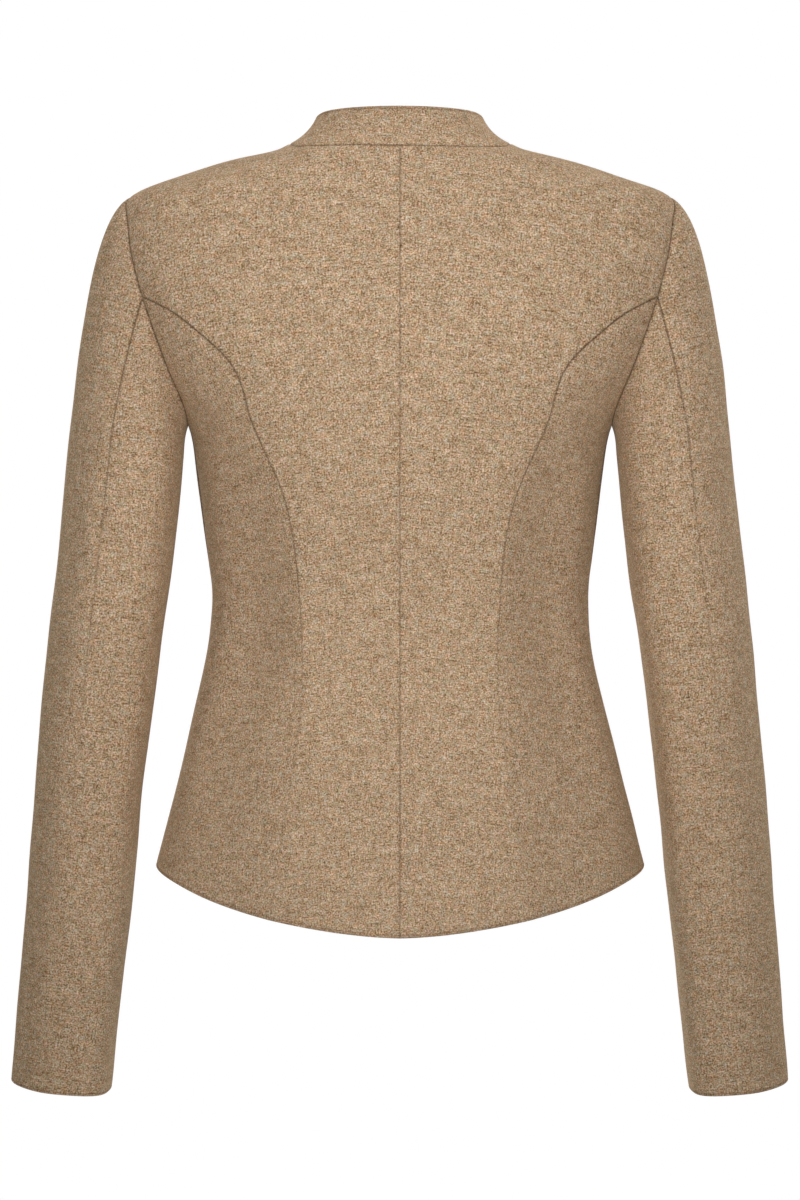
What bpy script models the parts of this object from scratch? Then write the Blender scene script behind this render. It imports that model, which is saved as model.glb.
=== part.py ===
# Short fitted blazer in loden cloth, in the shape it has when it is worn.
# It is cut as ten body and sleeve pairs of pieces, a stand collar and five buttons.
# The front faces -Y, the wearer's left is +X, and Z is up. The origin is the middle
# of the neck, level with the points where the shoulder seams meet the collar.
# All tables and sizes are in millimetres; build_mesh turns them into metres.

import math

import bmesh
import bpy
import numpy as np

# Driving sizes
MM = 0.001
SEAM_GAP = 0.3  # between two pieces that are sewn together
CLOTH = 2.2  # loden with its interlining
COLLAR_CLOTH = 2.8  # the collar is double
MITRE_LIMIT = 0.62  # how far a folded seam may lengthen the wall's edge, as a cosine
SHOULDER_TOP = 2.0  # height where the shoulder seam meets the neck
SHOULDER_END = -35.5  # height where it meets the sleeve
UNDERARM = -196.0  # height of the lowest point of the armhole
BACK_JOIN = -109.0  # where the back princess seam leaves the armhole
FRONT_JOIN = -122.0  # the same on the front
FRONT_LAP = 18.0  # how far each front reaches past the centre line
LAP_CLEARANCE = 1.1  # between the two fronts where they lie on each other
FRONT_CORNER = 22.0  # radius of the round corner at the foot of each front
BUST_FULLNESS = {"x": 84.0, "height": -236.0, "spread": 46.0, "lift": 7.0}
BICEPS = -214.0  # middle height of the ring that ends the sleeve's cap
CUFF = -662.5  # middle height of the sleeve's lower edge
SLEEVE_SQUARE = {"front": 2.15, "outer_back": 1.95, "inner_back": 2.9}  # exponents of its oval sections
BUTTON = {"radius": 9.5, "thickness": 3.6, "rim": 1.6, "dish": 0.9, "count": 5}
BUTTON_TOP = -92.0
BUTTON_PITCH = 86.0

# How many cells each seam is divided into. Two pieces share their seam's points.
NECK_CELLS = 8
LAP_CELLS = 2
SHOULDER_CELLS = 4
ARMHOLE_UPPER_CELLS = 4
ARMHOLE_LOWER_CELLS = 8
PRINCESS_CELLS = 13
COLLAR_CELLS = 4
CAP_ROWS = 7
ARM_ROWS = 10
FRONT_SLEEVE_SEAM = 4  # cells from the underarm to the sleeve's front seam

# The body, one row for each level: half width, depth of the centre back and of the
# centre front, place of the side line, and how square the back and front halves are.
BODY_COLUMNS = ("height", "half_width", "back", "front", "side", "back_square", "front_square")
BODY_ROWS = (
    (8, 60.0, 48.5, -44.0, 0.0, 2.00, 2.00),
    (2, 78.0, 51.0, -47.5, 0.0, 2.00, 2.00),
    (-3, 88.5, 53.0, -49.5, 0.0, 2.02, 2.00),
    (-9, 114.0, 55.5, -52.0, 0.0, 2.06, 2.00),
    (-16, 138.2, 59.0, -54.5, 0.0, 2.12, 2.04),
    (-23, 159.0, 62.0, -57.0, 0.0, 2.20, 2.08),
    (-30, 178.2, 65.0, -60.0, 0.0, 2.32, 2.13),
    (-35.5, 188.5, 67.0, -62.0, -0.2, 2.44, 2.20),
    (-50, 195.5, 72.0, -68.0, -1.0, 2.70, 2.30),
    (-70, 196.0, 78.5, -76.5, -2.5, 2.98, 2.40),
    (-110, 188.0, 88.0, -93.5, -5.0, 3.25, 2.50),
    (-142, 177.0, 93.0, -109.0, -7.0, 3.25, 2.50),
    (-164, 166.5, 95.0, -119.5, -8.0, 3.10, 2.50),
    (-182, 156.5, 95.5, -127.0, -9.0, 2.92, 2.48),
    (-196, 149.7, 95.0, -131.5, -10.0, 2.78, 2.45),
    (-221, 143.8, 92.5, -136.0, -11.5, 2.60, 2.40),
    (-249, 139.6, 88.0, -136.0, -13.0, 2.48, 2.36),
    (-291, 135.0, 80.0, -125.0, -15.0, 2.38, 2.32),
    (-320, 133.0, 77.0, -117.0, -15.0, 2.35, 2.30),
    (-348, 135.0, 78.5, -113.5, -13.0, 2.35, 2.30),
    (-390, 143.5, 87.0, -112.5, -9.0, 2.35, 2.30),
    (-446, 157.2, 98.5, -114.0, -5.0, 2.35, 2.30),
    (-503, 171.5, 106.0, -115.0, -3.0, 2.35, 2.30),
    (-560, 184.5, 109.5, -115.0, -2.0, 2.35, 2.30),
)

# Height of the hem at each bearing: 90 is the centre back, 0 the side, -90 the front.
HEM_ROWS = ((-110, -524.5), (-90, -524.0), (-68, -518.0), (-45, -509.0), (-20, -502.0), (0, -503.6),
            (27, -511.0), (43, -523.2), (60, -537.0), (90, -549.5), (110, -547.0))

# Neck edges, as distance from the centre line and height.
NECK_BACK_ROWS = ((0, -4.3), (40, -4.0), (60, -3.3), (70, -2.4), (75, -1.0), (78, 2.0))
NECK_FRONT_ROWS = ((-18, -77.0), (-9, -72.5), (0, -70.0), (20, -67.0), (40, -58.0), (58, -42.0),
                   (70, -22.0), (76, -6.0), (78, 2.0))

# How far in from the body's widest line the armhole is cut, at each height.
ARMHOLE_BACK_ROWS = ((-35.5, 0.0), (-50, 4.4), (-68, 7.6), (-90, 9.4), (-109, 9.6), (-142, 8.2),
                     (-164, 5.4), (-182, 2.6), (-196, 0.0))
ARMHOLE_FRONT_ROWS = ((-35.5, 0.0), (-50, 6.0), (-70, 11.5), (-95, 15.0), (-122, 16.0), (-142, 14.0),
                      (-164, 10.0), (-182, 5.0), (-196, 0.0))

# Princess seams, as height and distance from the centre line.
PRINCESS_BACK_ROWS = ((-109, None), (-121, 157.0), (-136, 138.0), (-153, 119.5), (-192, 103.5),
                      (-245, 81.0), (-302, 70.5), (-350, 67.3), (-402, 69.0), (-455, 76.5), (-545, 90.0))
PRINCESS_FRONT_ROWS = ((-122, None), (-136, 149.0), (-153, 131.0), (-190, 107.0), (-236, 89.0),
                       (-290, 79.0), (-330, 75.5), (-380, 77.0), (-440, 82.0), (-530, 92.0))

# How far each side back panel is flattened, at each height. It meets the back at a soft edge.
FLANK_ROWS = ((-109, 0.0), (-150, 1.5), (-200, 4.0), (-260, 7.5), (-320, 10.0), (-360, 11.0),
              (-420, 11.0), (-480, 10.0), (-560, 8.5))

# The sleeve below its cap, one row for each level of its middle line.
SLEEVE_COLUMNS = ("height", "x", "y", "half_width", "half_depth")
SLEEVE_ROWS = (
    (-160, 188.0, -2.0, 40.5, 56.0),
    (-214, 193.0, -1.0, 40.6, 55.5),
    (-290, 201.0, 1.0, 40.2, 53.0),
    (-347, 208.0, 2.0, 39.6, 51.0),
    (-390, 213.0, 1.0, 38.9, 49.0),
    (-432, 217.5, -1.5, 38.4, 47.5),
    (-517, 225.5, -8.0, 37.2, 44.5),
    (-600, 234.0, -15.0, 36.2, 42.5),
    (-668, 240.5, -21.0, 35.2, 41.5),
)

# The collar's upper edge, by the share of the way from the centre back to the front.
COLLAR_COLUMNS = ("share", "x", "y", "z")
COLLAR_ROWS = (
    (-0.10, -17.0, 44.0, 24.0),
    (0.00, 0.0, 45.0, 24.0),
    (0.16, 29.0, 40.5, 23.7),
    (0.30, 48.5, 27.5, 23.2),
    (0.40, 57.5, 12.0, 21.5),
    (0.50, 59.0, -6.0, 16.0),
    (0.62, 53.0, -28.0, 3.0),
    (0.74, 41.0, -47.0, -13.0),
    (0.87, 22.5, -61.0, -30.0),
    (1.00, 3.5, -66.5, -41.5),
)
COLLAR_HOLLOW = 2.6  # how far the collar curves in between its seam and its edge
COLLAR_CORNER = 9.0  # radius of its front corners

LODEN = ("loden", (0.42, 0.30, 0.19), 0.92)
HORN = ("horn", (0.16, 0.09, 0.05), 0.38)


# ---- curves ----

def natural_spline(keys, values):
    """The smooth curve through the values, as a function that runs on straight past its ends."""
    order = np.argsort(keys)
    keys, values = np.array(keys, float)[order], np.array(values, float)[order]
    step = np.diff(keys)
    slope = np.diff(values) / step
    system, bend = np.eye(len(keys)), np.zeros(len(keys))
    for i in range(1, len(keys) - 1):
        system[i, i - 1:i + 2] = step[i - 1], 2 * (step[i - 1] + step[i]), step[i]
        bend[i] = 6 * (slope[i] - slope[i - 1])
    second = np.linalg.solve(system, bend)
    first = slope - step * (2 * second[:-1] + second[1:]) / 6
    last = slope[-1] + step[-1] * (second[-2] + 2 * second[-1]) / 6

    def value_at(key):
        if key < keys[0]:
            return values[0] + first[0] * (key - keys[0])
        if key > keys[-1]:
            return values[-1] + last * (key - keys[-1])
        i = min(int(np.searchsorted(keys, key, side="right")) - 1, len(step) - 1)
        t = key - keys[i]
        cubic = (second[i + 1] - second[i]) / (6 * step[i])
        return values[i] + first[i] * t + second[i] / 2 * t * t + cubic * t ** 3

    return value_at


def spline_columns(columns, rows):
    """One spline for each named column, over the table's first column."""
    keys = [row[0] for row in rows]
    return {name: natural_spline(keys, [row[i] for row in rows]) for i, name in enumerate(columns) if i}


BODY = spline_columns(BODY_COLUMNS, BODY_ROWS)
SLEEVE = spline_columns(SLEEVE_COLUMNS, SLEEVE_ROWS)
COLLAR = spline_columns(COLLAR_COLUMNS, COLLAR_ROWS)
HEM = natural_spline(*zip(*HEM_ROWS))
FLANK = natural_spline(*zip(*FLANK_ROWS))
BACK_EDGE = natural_spline(*zip(*PRINCESS_BACK_ROWS[1:]))


def unit(vector):
    return vector / max(np.linalg.norm(vector), 1e-9)


def spread_evenly(place, count, shape):
    """count + 1 places, evenly spaced along the curve that shape(place(t)) draws for t from 0 to 1."""
    samples = [place((1 - math.cos(math.pi * i / 240)) / 2) for i in range(241)]
    points = np.array([shape(*s) for s in samples])
    length = np.concatenate([[0], np.cumsum(np.linalg.norm(np.diff(points, axis=0), axis=1))])
    wanted = np.linspace(0, length[-1], count + 1)
    return [tuple(np.interp(w, length, column) for column in np.array(samples).T) for w in wanted]


# ---- the body's surface, by bearing and height ----

def ring_sizes(height, back):
    """Half width, depth, side line and squareness of one half of the body's ring."""
    side = BODY["side"](height)
    if back:
        return BODY["half_width"](height), BODY["back"](height) - side, side, BODY["back_square"](height)
    return BODY["half_width"](height), side - BODY["front"](height), side, BODY["front_square"](height)


def ring_value(x, y, height, back):
    half_width, depth, side, square = ring_sizes(height, back)
    return (abs(x) / half_width) ** square + (abs(y - side) / depth) ** square


def flank_hollow(bearing, height):
    """How far a side back panel lies in from the body's oval there."""
    if bearing <= 0 or height > FLANK_ROWS[0][0]:
        return 0.0
    share = min(bearing / bearing_at(BACK_EDGE(height), height, True), 1.0)
    return FLANK(height) * 6.75 * share * share * (1 - share)


def body_point_and_normal(bearing, height):
    """The cloth's outer face and its direction there, for the wearer's left half."""
    back = bearing > 0
    half_width, depth, side, square = ring_sizes(height, back)
    across, along = math.cos(math.radians(bearing)), abs(math.sin(math.radians(bearing)))
    reach = (abs(across) ** square + along ** square) ** (-1 / square)
    x = half_width * reach * across
    y = side + depth * reach * along * (1 if back else -1)
    step = 0.2
    normal = unit(np.array([
        ring_value(x + step, y, height, back) - ring_value(x - step, y, height, back),
        ring_value(x, y + step, height, back) - ring_value(x, y - step, height, back),
        ring_value(x, y, height + step, back) - ring_value(x, y, height - step, back),
    ]))
    point = np.array([x, y, height])
    if back:
        point = point - normal * flank_hollow(bearing, height)
    else:
        away = (abs(x) - BUST_FULLNESS["x"]) ** 2 + (height - BUST_FULLNESS["height"]) ** 2
        point = point + normal * BUST_FULLNESS["lift"] * math.exp(-away / BUST_FULLNESS["spread"] ** 2)
    return point, normal


def body_point(bearing, height):
    return body_point_and_normal(bearing, height)[0]


def bearing_at(x, height, back):
    """The bearing of the body's point at that distance from the centre line."""
    half_width, _, _, square = ring_sizes(height, back)
    ratio = max(half_width / max(abs(x), 1e-6), 1.0)
    bearing = math.degrees(math.atan((ratio ** square - 1) ** (1 / square)))
    if x < 0:
        bearing = 180 - bearing
    return bearing if back else -bearing


def seam_along_height(x_at, back, start, stop, count):
    """A seam that runs down the body, x_at(height) from the centre line."""
    def place(t):
        height = start + (stop - start) * t
        return bearing_at(x_at(height), height, back), height
    return spread_evenly(place, count, body_point)


def seam_along_side(start, stop, count):
    """A seam on the body's widest line, such as the shoulder and side seams."""
    return spread_evenly(lambda t: (0.0, start + (stop - start) * t), count, body_point)


def neck_edge(rows, back, start, stop, count):
    """The neck edge between two distances from the centre line."""
    height_at = natural_spline(*zip(*rows))

    def place(t):
        x = start + (stop - start) * t
        return bearing_at(x, height_at(x), back), height_at(x)
    return spread_evenly(place, count, body_point)


def armhole_x(rows):
    inset = natural_spline(*zip(*rows))
    return lambda height: BODY["half_width"](height) - max(inset(height), 0.0)


def princess_seam(rows, back, armhole, count):
    """A princess seam from the armhole down to the hem."""
    start = rows[0][0]
    rows = ((start, armhole(start)),) + rows[1:]
    x_at = natural_spline(*zip(*rows))
    stop = start
    while stop > HEM(bearing_at(x_at(stop), stop, back)):
        stop -= 0.5
    return seam_along_height(x_at, back, start, stop, count)


def hem_line(start, stop, count):
    return spread_evenly(lambda t: (start + (stop - start) * t, HEM(start + (stop - start) * t)),
                         count, body_point)


# ---- the pieces' grids ----

def fill_between(top, bottom, left, right):
    """A grid of bearings and heights between four edges that meet at their ends."""
    top, bottom, left, right = (np.array(edge) for edge in (top, bottom, left, right))
    rows, columns = len(left), len(top)
    grid = np.zeros((rows, columns, 2))
    for r in range(rows):
        v = (left[r, 1] - left[0, 1]) / (left[-1, 1] - left[0, 1])
        for c in range(columns):
            u = c / (columns - 1)
            corners = ((1 - u) * (1 - v) * top[0] + u * (1 - v) * top[-1]
                       + (1 - u) * v * bottom[0] + u * v * bottom[-1])
            grid[r, c] = (1 - v) * top[c] + v * bottom[c] + (1 - u) * left[r] + u * right[r] - corners
    return grid


def body_grid(domain, mirrored=False, sink=None):
    """Outer points and directions of a body piece, mirrored for the wearer's right."""
    points, normals = np.zeros(domain.shape[:2] + (3,)), np.zeros(domain.shape[:2] + (3,))
    for r, c in np.ndindex(domain.shape[:2]):
        point, normal = body_point_and_normal(*domain[r, c])
        if sink:
            point = point - normal * sink(point[0])
        points[r, c], normals[r, c] = point, normal
    if mirrored:
        points[..., 0] *= -1
        normals[..., 0] *= -1
    return points, normals


def lap_sink(x):
    """How far the left front lies under the right one, easing out beyond the lap."""
    t = min(max((x - 22.0) / 26.0, 0.0), 1.0)
    return (CLOTH + LAP_CLEARANCE) * (1 - t * t * (3 - 2 * t))


def level_with(right, top, bottom, bearing):
    """The points of a straight edge, one level with each point of the edge across the piece."""
    heights = np.array([height for _, height in right])
    share = (heights - heights[0]) / (heights[-1] - heights[0])
    return [(bearing, top + (bottom - top) * s) for s in share]


def body_pattern():
    """The bearing and height of every grid point of the four left-hand body pieces."""
    back_armhole, front_armhole = armhole_x(ARMHOLE_BACK_ROWS), armhole_x(ARMHOLE_FRONT_ROWS)
    shoulder = seam_along_side(SHOULDER_TOP, SHOULDER_END, SHOULDER_CELLS)
    edge = {
        "back_upper": seam_along_height(back_armhole, True, SHOULDER_END, BACK_JOIN, ARMHOLE_UPPER_CELLS),
        "back_lower": seam_along_height(back_armhole, True, BACK_JOIN, UNDERARM, ARMHOLE_LOWER_CELLS),
        "front_upper": seam_along_height(front_armhole, False, SHOULDER_END, FRONT_JOIN, ARMHOLE_UPPER_CELLS),
        "front_lower": seam_along_height(front_armhole, False, FRONT_JOIN, UNDERARM, ARMHOLE_LOWER_CELLS),
    }
    back_seam = princess_seam(PRINCESS_BACK_ROWS, True, back_armhole, PRINCESS_CELLS)
    front_seam = princess_seam(PRINCESS_FRONT_ROWS, False, front_armhole, PRINCESS_CELLS)
    side_seam = seam_along_side(UNDERARM, HEM(0), PRINCESS_CELLS)

    neck_back = neck_edge(NECK_BACK_ROWS, True, 0.0, 78.0, NECK_CELLS)
    outline = shoulder + edge["back_upper"][1:] + back_seam[1:]
    hem = hem_line(90.0, back_seam[-1][0], NECK_CELLS)
    centre_back = level_with(outline, neck_back[0][1], HEM(90), 90.0)
    back = fill_between(neck_back, hem, centre_back, outline)

    side_back = fill_between(edge["back_lower"], hem_line(back_seam[-1][0], 0.0, ARMHOLE_LOWER_CELLS),
                             back_seam, side_seam)
    side_front = fill_between(edge["front_lower"], hem_line(front_seam[-1][0], 0.0, ARMHOLE_LOWER_CELLS),
                              front_seam, side_seam)

    neck_front = neck_edge(NECK_FRONT_ROWS, False, 78.0, 0.0, NECK_CELLS)
    neck_lap = neck_edge(NECK_FRONT_ROWS, False, 0.0, -FRONT_LAP, LAP_CELLS)
    outline = shoulder + edge["front_upper"][1:] + front_seam[1:]
    lap_foot = front_corner()
    hem = hem_line(front_seam[-1][0], lap_foot[0][0], NECK_CELLS + LAP_CELLS - len(lap_foot) + 1) + lap_foot[1:]
    top_height, foot_height = neck_lap[-1][1], lap_foot[-1][1]
    front_edge = [(bearing_at(-FRONT_LAP, height, False), height)
                  for _, height in level_with(outline, top_height, foot_height, 0.0)]
    front = fill_between(neck_front + neck_lap[1:], hem, outline, front_edge)
    return {"back": back, "side_back": side_back, "side_front": side_front, "front": front}, edge


def front_corner(cells=3):
    """The round corner where the hem turns up into the front edge."""
    places = []
    for i in range(cells + 1):
        turn = math.radians(90 * i / cells)
        x = -FRONT_LAP + FRONT_CORNER * (1 - math.sin(turn))
        height = HEM(-90) + FRONT_CORNER * (1 - math.cos(turn))
        places.append((bearing_at(x, height, False), height))
    return places


# ---- sleeves ----

def sleeve_ring(height, turn):
    """A point of the sleeve's oval section. turn is 0 outside, 90 behind and 180 inside the arm."""
    size = {name: f(height) for name, f in SLEEVE.items()}
    ahead = {name: f(height - 1.0) for name, f in SLEEVE.items()}
    axis = unit(np.array([ahead["x"] - size["x"], ahead["y"] - size["y"], -1.0]))
    outward = unit(np.array([1.0, 0, 0]) - axis * axis[0])
    backward = np.cross(outward, axis)
    across, along = math.cos(math.radians(turn)), math.sin(math.radians(turn))
    part = "front" if along < 0 else "outer_back" if across > 0 else "inner_back"
    square = SLEEVE_SQUARE["front"]
    square += (SLEEVE_SQUARE[part] - square) * math.sin(2 * math.radians(turn)) ** 2
    reach = (abs(across) ** square + abs(along) ** square) ** (-1 / square)
    centre = np.array([size["x"], size["y"], height])
    return (centre + outward * size["half_width"] * reach * across
            + backward * size["half_depth"] * reach * along)


def armhole_loop(edge):
    """The armhole's points and body directions, from the shoulder round the back and up the front,
    with the turn that each has on the sleeve's rings."""
    marks = [(edge["back_upper"], 0, 79), (edge["back_lower"], 79, 180),
             (edge["front_lower"][::-1], 180, 284), (edge["front_upper"][::-1], 284, 360)]
    loop = []
    for places, start, stop in marks:
        points = np.array([body_point(*p) for p in places])
        length = np.concatenate([[0], np.cumsum(np.linalg.norm(np.diff(points, axis=0), axis=1))])
        turns = start + (stop - start) * length / length[-1]
        loop += [(*body_point_and_normal(*p), turn) for p, turn in zip(places[:-1], turns)]
    return loop


def cap_direction(turn):
    """The way the sleeve leaves the armhole seam."""
    across, along = math.cos(math.radians(turn)), math.sin(math.radians(turn))
    return unit(np.array([0.68 + 0.30 * across, 0.32 * along, -0.68 + 0.27 * across]))


def sleeve_grid(loop):
    """Rows from the armhole down to the cuff, one column for each armhole point."""
    columns = []
    for seam, _, turn in loop:
        ring = sleeve_ring(BICEPS, turn)
        down = unit(sleeve_ring(BICEPS - 5, turn) - ring)
        span = np.linalg.norm(ring - seam)
        outer_share = (1 + math.cos(math.radians(turn))) / 2
        straight = 0.9 * math.sin(math.radians(turn)) ** 2
        away = unit(cap_direction(turn) * (1 - straight) + (ring - seam) / span * straight)
        leave = seam + away * span * (0.30 - 0.15 * outer_share)
        arrive = ring - down * span * (0.24 + 0.12 * outer_share ** 2)
        column = []
        for row in range(CAP_ROWS):
            t = (row / CAP_ROWS) ** 1.15
            column.append((1 - t) ** 3 * seam + 3 * t * (1 - t) ** 2 * leave
                          + 3 * t * t * (1 - t) * arrive + t ** 3 * ring)
        for row in range(ARM_ROWS + 1):
            column.append(sleeve_ring(BICEPS + (CUFF - BICEPS) * row / ARM_ROWS, turn))
        columns.append(column)
    return np.array(columns).transpose(1, 0, 2)


def grid_normals(points, closed=False):
    """The direction at each grid point, on the side where the columns run round to the right."""
    if closed:
        along = np.roll(points, -1, axis=1) - np.roll(points, 1, axis=1)
    else:
        along = np.gradient(points, axis=1)
    down = np.gradient(points, axis=0)
    normals = np.cross(down, along)
    return normals / np.linalg.norm(normals, axis=2, keepdims=True)


def mitre(body_normal, own_normal, thickness):
    """From the outer to the inner edge of a wall whose seam is folded between two directions."""
    middle = unit(body_normal + own_normal)
    return -middle * thickness / max(float(middle @ own_normal), MITRE_LIMIT)


# ---- collar ----

def collar_grid(base, normals):
    """Rows from the neck seam up to the edge. base runs from the left front round the back."""
    length = np.concatenate([[0], np.cumsum(np.linalg.norm(np.diff(base, axis=0), axis=1))])
    half = length[-1] / 2
    grid = np.zeros((COLLAR_CELLS + 1, len(base), 3))
    for c, point in enumerate(base):
        share = abs(length[c] - half) / half
        edge = np.array([COLLAR[name](share) for name in ("x", "y", "z")])
        edge[0] *= 1 if length[c] < half else -1
        rise = np.linalg.norm(edge - point)
        left = min(length[c], length[-1] - length[c])
        if left < COLLAR_CORNER:
            short = COLLAR_CORNER - math.sqrt(COLLAR_CORNER ** 2 - (COLLAR_CORNER - left) ** 2)
            edge = point + (edge - point) * (1 - short / rise)
        inward = unit(np.cross(np.cross(normals[c], edge - point), edge - point))
        inward *= -1 if inward @ normals[c] > 0 else 1
        for r in range(COLLAR_CELLS + 1):
            v = r / COLLAR_CELLS
            grid[r, c] = point + (edge - point) * v + inward * COLLAR_HOLLOW * 4 * v * (1 - v)
    return grid


def collar_base():
    """The neck seam from the wearer's left front, round the back, to the right front."""
    front = neck_edge(NECK_FRONT_ROWS, False, 78.0, 0.0, NECK_CELLS)
    back = neck_edge(NECK_BACK_ROWS, True, 0.0, 78.0, NECK_CELLS)
    half = [body_point_and_normal(*place) for place in back + front[1:]]
    sunk = [(point - normal * lap_sink(point[0]), normal) for point, normal in half[NECK_CELLS:]]
    mirror = np.array([-1, 1, 1])
    pairs = ((half[:NECK_CELLS] + sunk)[::-1]
             + [(point * mirror, normal * mirror) for point, normal in half[1:]])
    base, normals = np.array([p for p, _ in pairs]), np.array([n for _, n in pairs])
    base[0, 0], base[-1, 0] = 0.8, -0.8
    return base, normals


# ---- solids ----

def make_material(name, colour, roughness):
    material = bpy.data.materials.new(name)
    material.use_nodes = True
    shader = material.node_tree.nodes["Principled BSDF"]
    shader.inputs["Base Color"].default_value = (*colour, 1.0)
    shader.inputs["Roughness"].default_value = roughness
    shader.inputs["Metallic"].default_value = 0.0
    return material


def build_mesh(name, vertices, faces, material):
    mesh = bpy.data.meshes.new(name)
    mesh.from_pydata([tuple(v * MM) for v in vertices], [], faces)
    mesh.materials.append(material)
    shape = bmesh.new()
    shape.from_mesh(mesh)
    bmesh.ops.recalc_face_normals(shape, faces=shape.faces)
    shape.to_mesh(mesh)
    shape.free()
    mesh.shade_smooth()
    mesh.set_sharp_from_angle(angle=math.radians(40))
    piece = bpy.data.objects.new(name, mesh)
    bpy.context.scene.collection.objects.link(piece)
    return piece


def perimeter(rows, columns):
    """Grid places round a piece, in order."""
    return ([(0, c) for c in range(columns - 1)] + [(r, columns - 1) for r in range(rows - 1)]
            + [(rows - 1, c) for c in range(columns - 1, 0, -1)] + [(r, 0) for r in range(rows - 1, 0, -1)])


def edge_shifts(outer, offsets, ring):
    """How far each edge point moves in, so that neighbours stay one seam gap apart."""
    points = [outer[place] for place in ring]
    count = len(ring)
    inward = []
    for i, place in enumerate(ring):
        after = ring[(i + 1) % count]
        along = unit(points[(i + 1) % count] - points[i])
        inward.append(unit(np.cross(along, offsets[place] + offsets[after])))
    middle = (ring[0][1] + ring[outer.shape[1] - 1][1]) // 2
    if inward[middle] @ (outer[1, middle] - outer[0, middle]) < 0:
        inward = [-m for m in inward]
    shifts = []
    for i in range(count):
        before, after = inward[i - 1], inward[i]
        shifts.append((before + after) / max(1 + float(before @ after), 0.5) * SEAM_GAP / 2)
    return shifts


def cloth_piece(name, outer, offsets, material):
    """A wall of cloth: the outer grid, the same grid moved in by the offsets, and a rim."""
    rows, columns = outer.shape[:2]
    ring = perimeter(rows, columns)
    outer, inner = outer.copy(), outer + offsets
    for place, shift in zip(ring, edge_shifts(outer, offsets, ring)):
        outer[place] = outer[place] + shift
        inner[place] = inner[place] + shift
    vertices = list(outer.reshape(-1, 3)) + list(inner.reshape(-1, 3))
    layer = rows * columns
    faces = []
    for r in range(rows - 1):
        for c in range(columns - 1):
            corner = r * columns + c
            quad = (corner, corner + 1, corner + columns + 1, corner + columns)
            faces.append(quad)
            faces.append(tuple(layer + i for i in reversed(quad)))
    edge = [r * columns + c for r, c in ring]
    for a, b in zip(edge, edge[1:] + edge[:1]):
        # Both pieces at a seam split its rim from the higher point, so the rims stay parallel.
        if vertices[a][2] > vertices[b][2]:
            faces += [(a, b, layer + b), (a, layer + b, layer + a)]
        else:
            faces += [(a, b, layer + a), (b, layer + b, layer + a)]
    return build_mesh(name, vertices, faces, material)


def build_body(pattern, edge, armhole_offsets, neck_offsets, material):
    """The eight body pieces. Their wall turns at the armhole and the neck to meet the next piece."""
    back_rows = SHOULDER_CELLS + ARMHOLE_UPPER_CELLS
    for side, mirrored in (("left", False), ("right", True)):
        mirror = np.array([-1 if mirrored else 1, 1, 1])
        for part, domain in pattern.items():
            sink = lap_sink if (part, side) == ("front", "left") else None
            outer, normals = body_grid(domain, mirrored, sink)
            offsets = -normals * CLOTH
            if part in ("back", "front"):
                column = -1 if part == "back" else 0
                upper = armhole_offsets[part + "_upper"]
                for i, offset in enumerate(upper):
                    offsets[SHOULDER_CELLS + i, column] = offset * mirror
                for i, offset in enumerate(neck_offsets[part]):
                    offsets[0, i] = offset * mirror
                assert offsets.shape[0] == back_rows + PRINCESS_CELLS + 1
            else:
                lower = armhole_offsets[part.replace("side_", "") + "_lower"]
                for i, offset in enumerate(lower):
                    offsets[0, i] = offset * mirror
            cloth_piece(f"{part}_{side}", outer, offsets, material)


def build_sleeves(loop, grid, normals, seam_offsets, material):
    """An upper and an under sleeve on each arm, split at the back and the front seam."""
    offsets = -normals * CLOTH
    offsets[0] = seam_offsets
    back_seam = ARMHOLE_UPPER_CELLS
    front_seam = back_seam + ARMHOLE_LOWER_CELLS + FRONT_SLEEVE_SEAM
    count = len(loop)
    columns = {
        "sleeve_upper": [i % count for i in range(front_seam, count + back_seam + 1)],
        "sleeve_under": list(range(back_seam, front_seam + 1)),
    }
    for side, sign in (("left", 1), ("right", -1)):
        mirror = np.array([sign, 1, 1])
        for part, chosen in columns.items():
            cloth_piece(f"{part}_{side}", grid[:, chosen] * mirror, offsets[:, chosen] * mirror, material)


def build_buttons(material):
    """Flat turned buttons down the centre front, each just clear of the cloth."""
    radius, thickness = BUTTON["radius"], BUTTON["thickness"]
    profile = ((0.0, 0.0), (radius - 1.4, 0.0), (radius, 1.2), (radius, thickness - 0.8),
               (radius - 0.8, thickness), (radius - BUTTON["rim"], thickness),
               (radius - BUTTON["rim"] - 1.2, thickness - BUTTON["dish"]), (0.0, thickness - BUTTON["dish"]))
    sides = 20
    for number in range(BUTTON["count"]):
        height = BUTTON_TOP - BUTTON_PITCH * number
        point, normal = body_point_and_normal(-90.0, height)
        normal = unit(normal * np.array([0, 1, 1]))
        across, up = np.array([1.0, 0, 0]), np.cross(normal, np.array([1.0, 0, 0]))
        rim = [body_point(-90.0, height + step) for step in (-radius, -radius / 2, radius / 2, radius)]
        rise = max(0.0, *(float((p - point) @ normal) for p in rim))
        seat = point + normal * (rise + SEAM_GAP + 0.1)
        vertices = [seat]
        for reach, lift in profile[1:-1]:
            for i in range(sides):
                turn = 2 * math.pi * i / sides
                vertices.append(seat + normal * lift + (across * math.cos(turn) + up * math.sin(turn)) * reach)
        vertices.append(seat + normal * profile[-1][1])
        last = len(vertices) - 1
        faces = []
        for i in range(sides):
            j = (i + 1) % sides
            faces.append((0, 1 + j, 1 + i))
            for ring in range(len(profile) - 3):
                start = 1 + ring * sides
                faces.append((start + i, start + j, start + sides + j, start + sides + i))
            faces.append((last - sides + i, last - sides + j, last))
        build_mesh(f"button_{number + 1}", vertices, faces, material)


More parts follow.
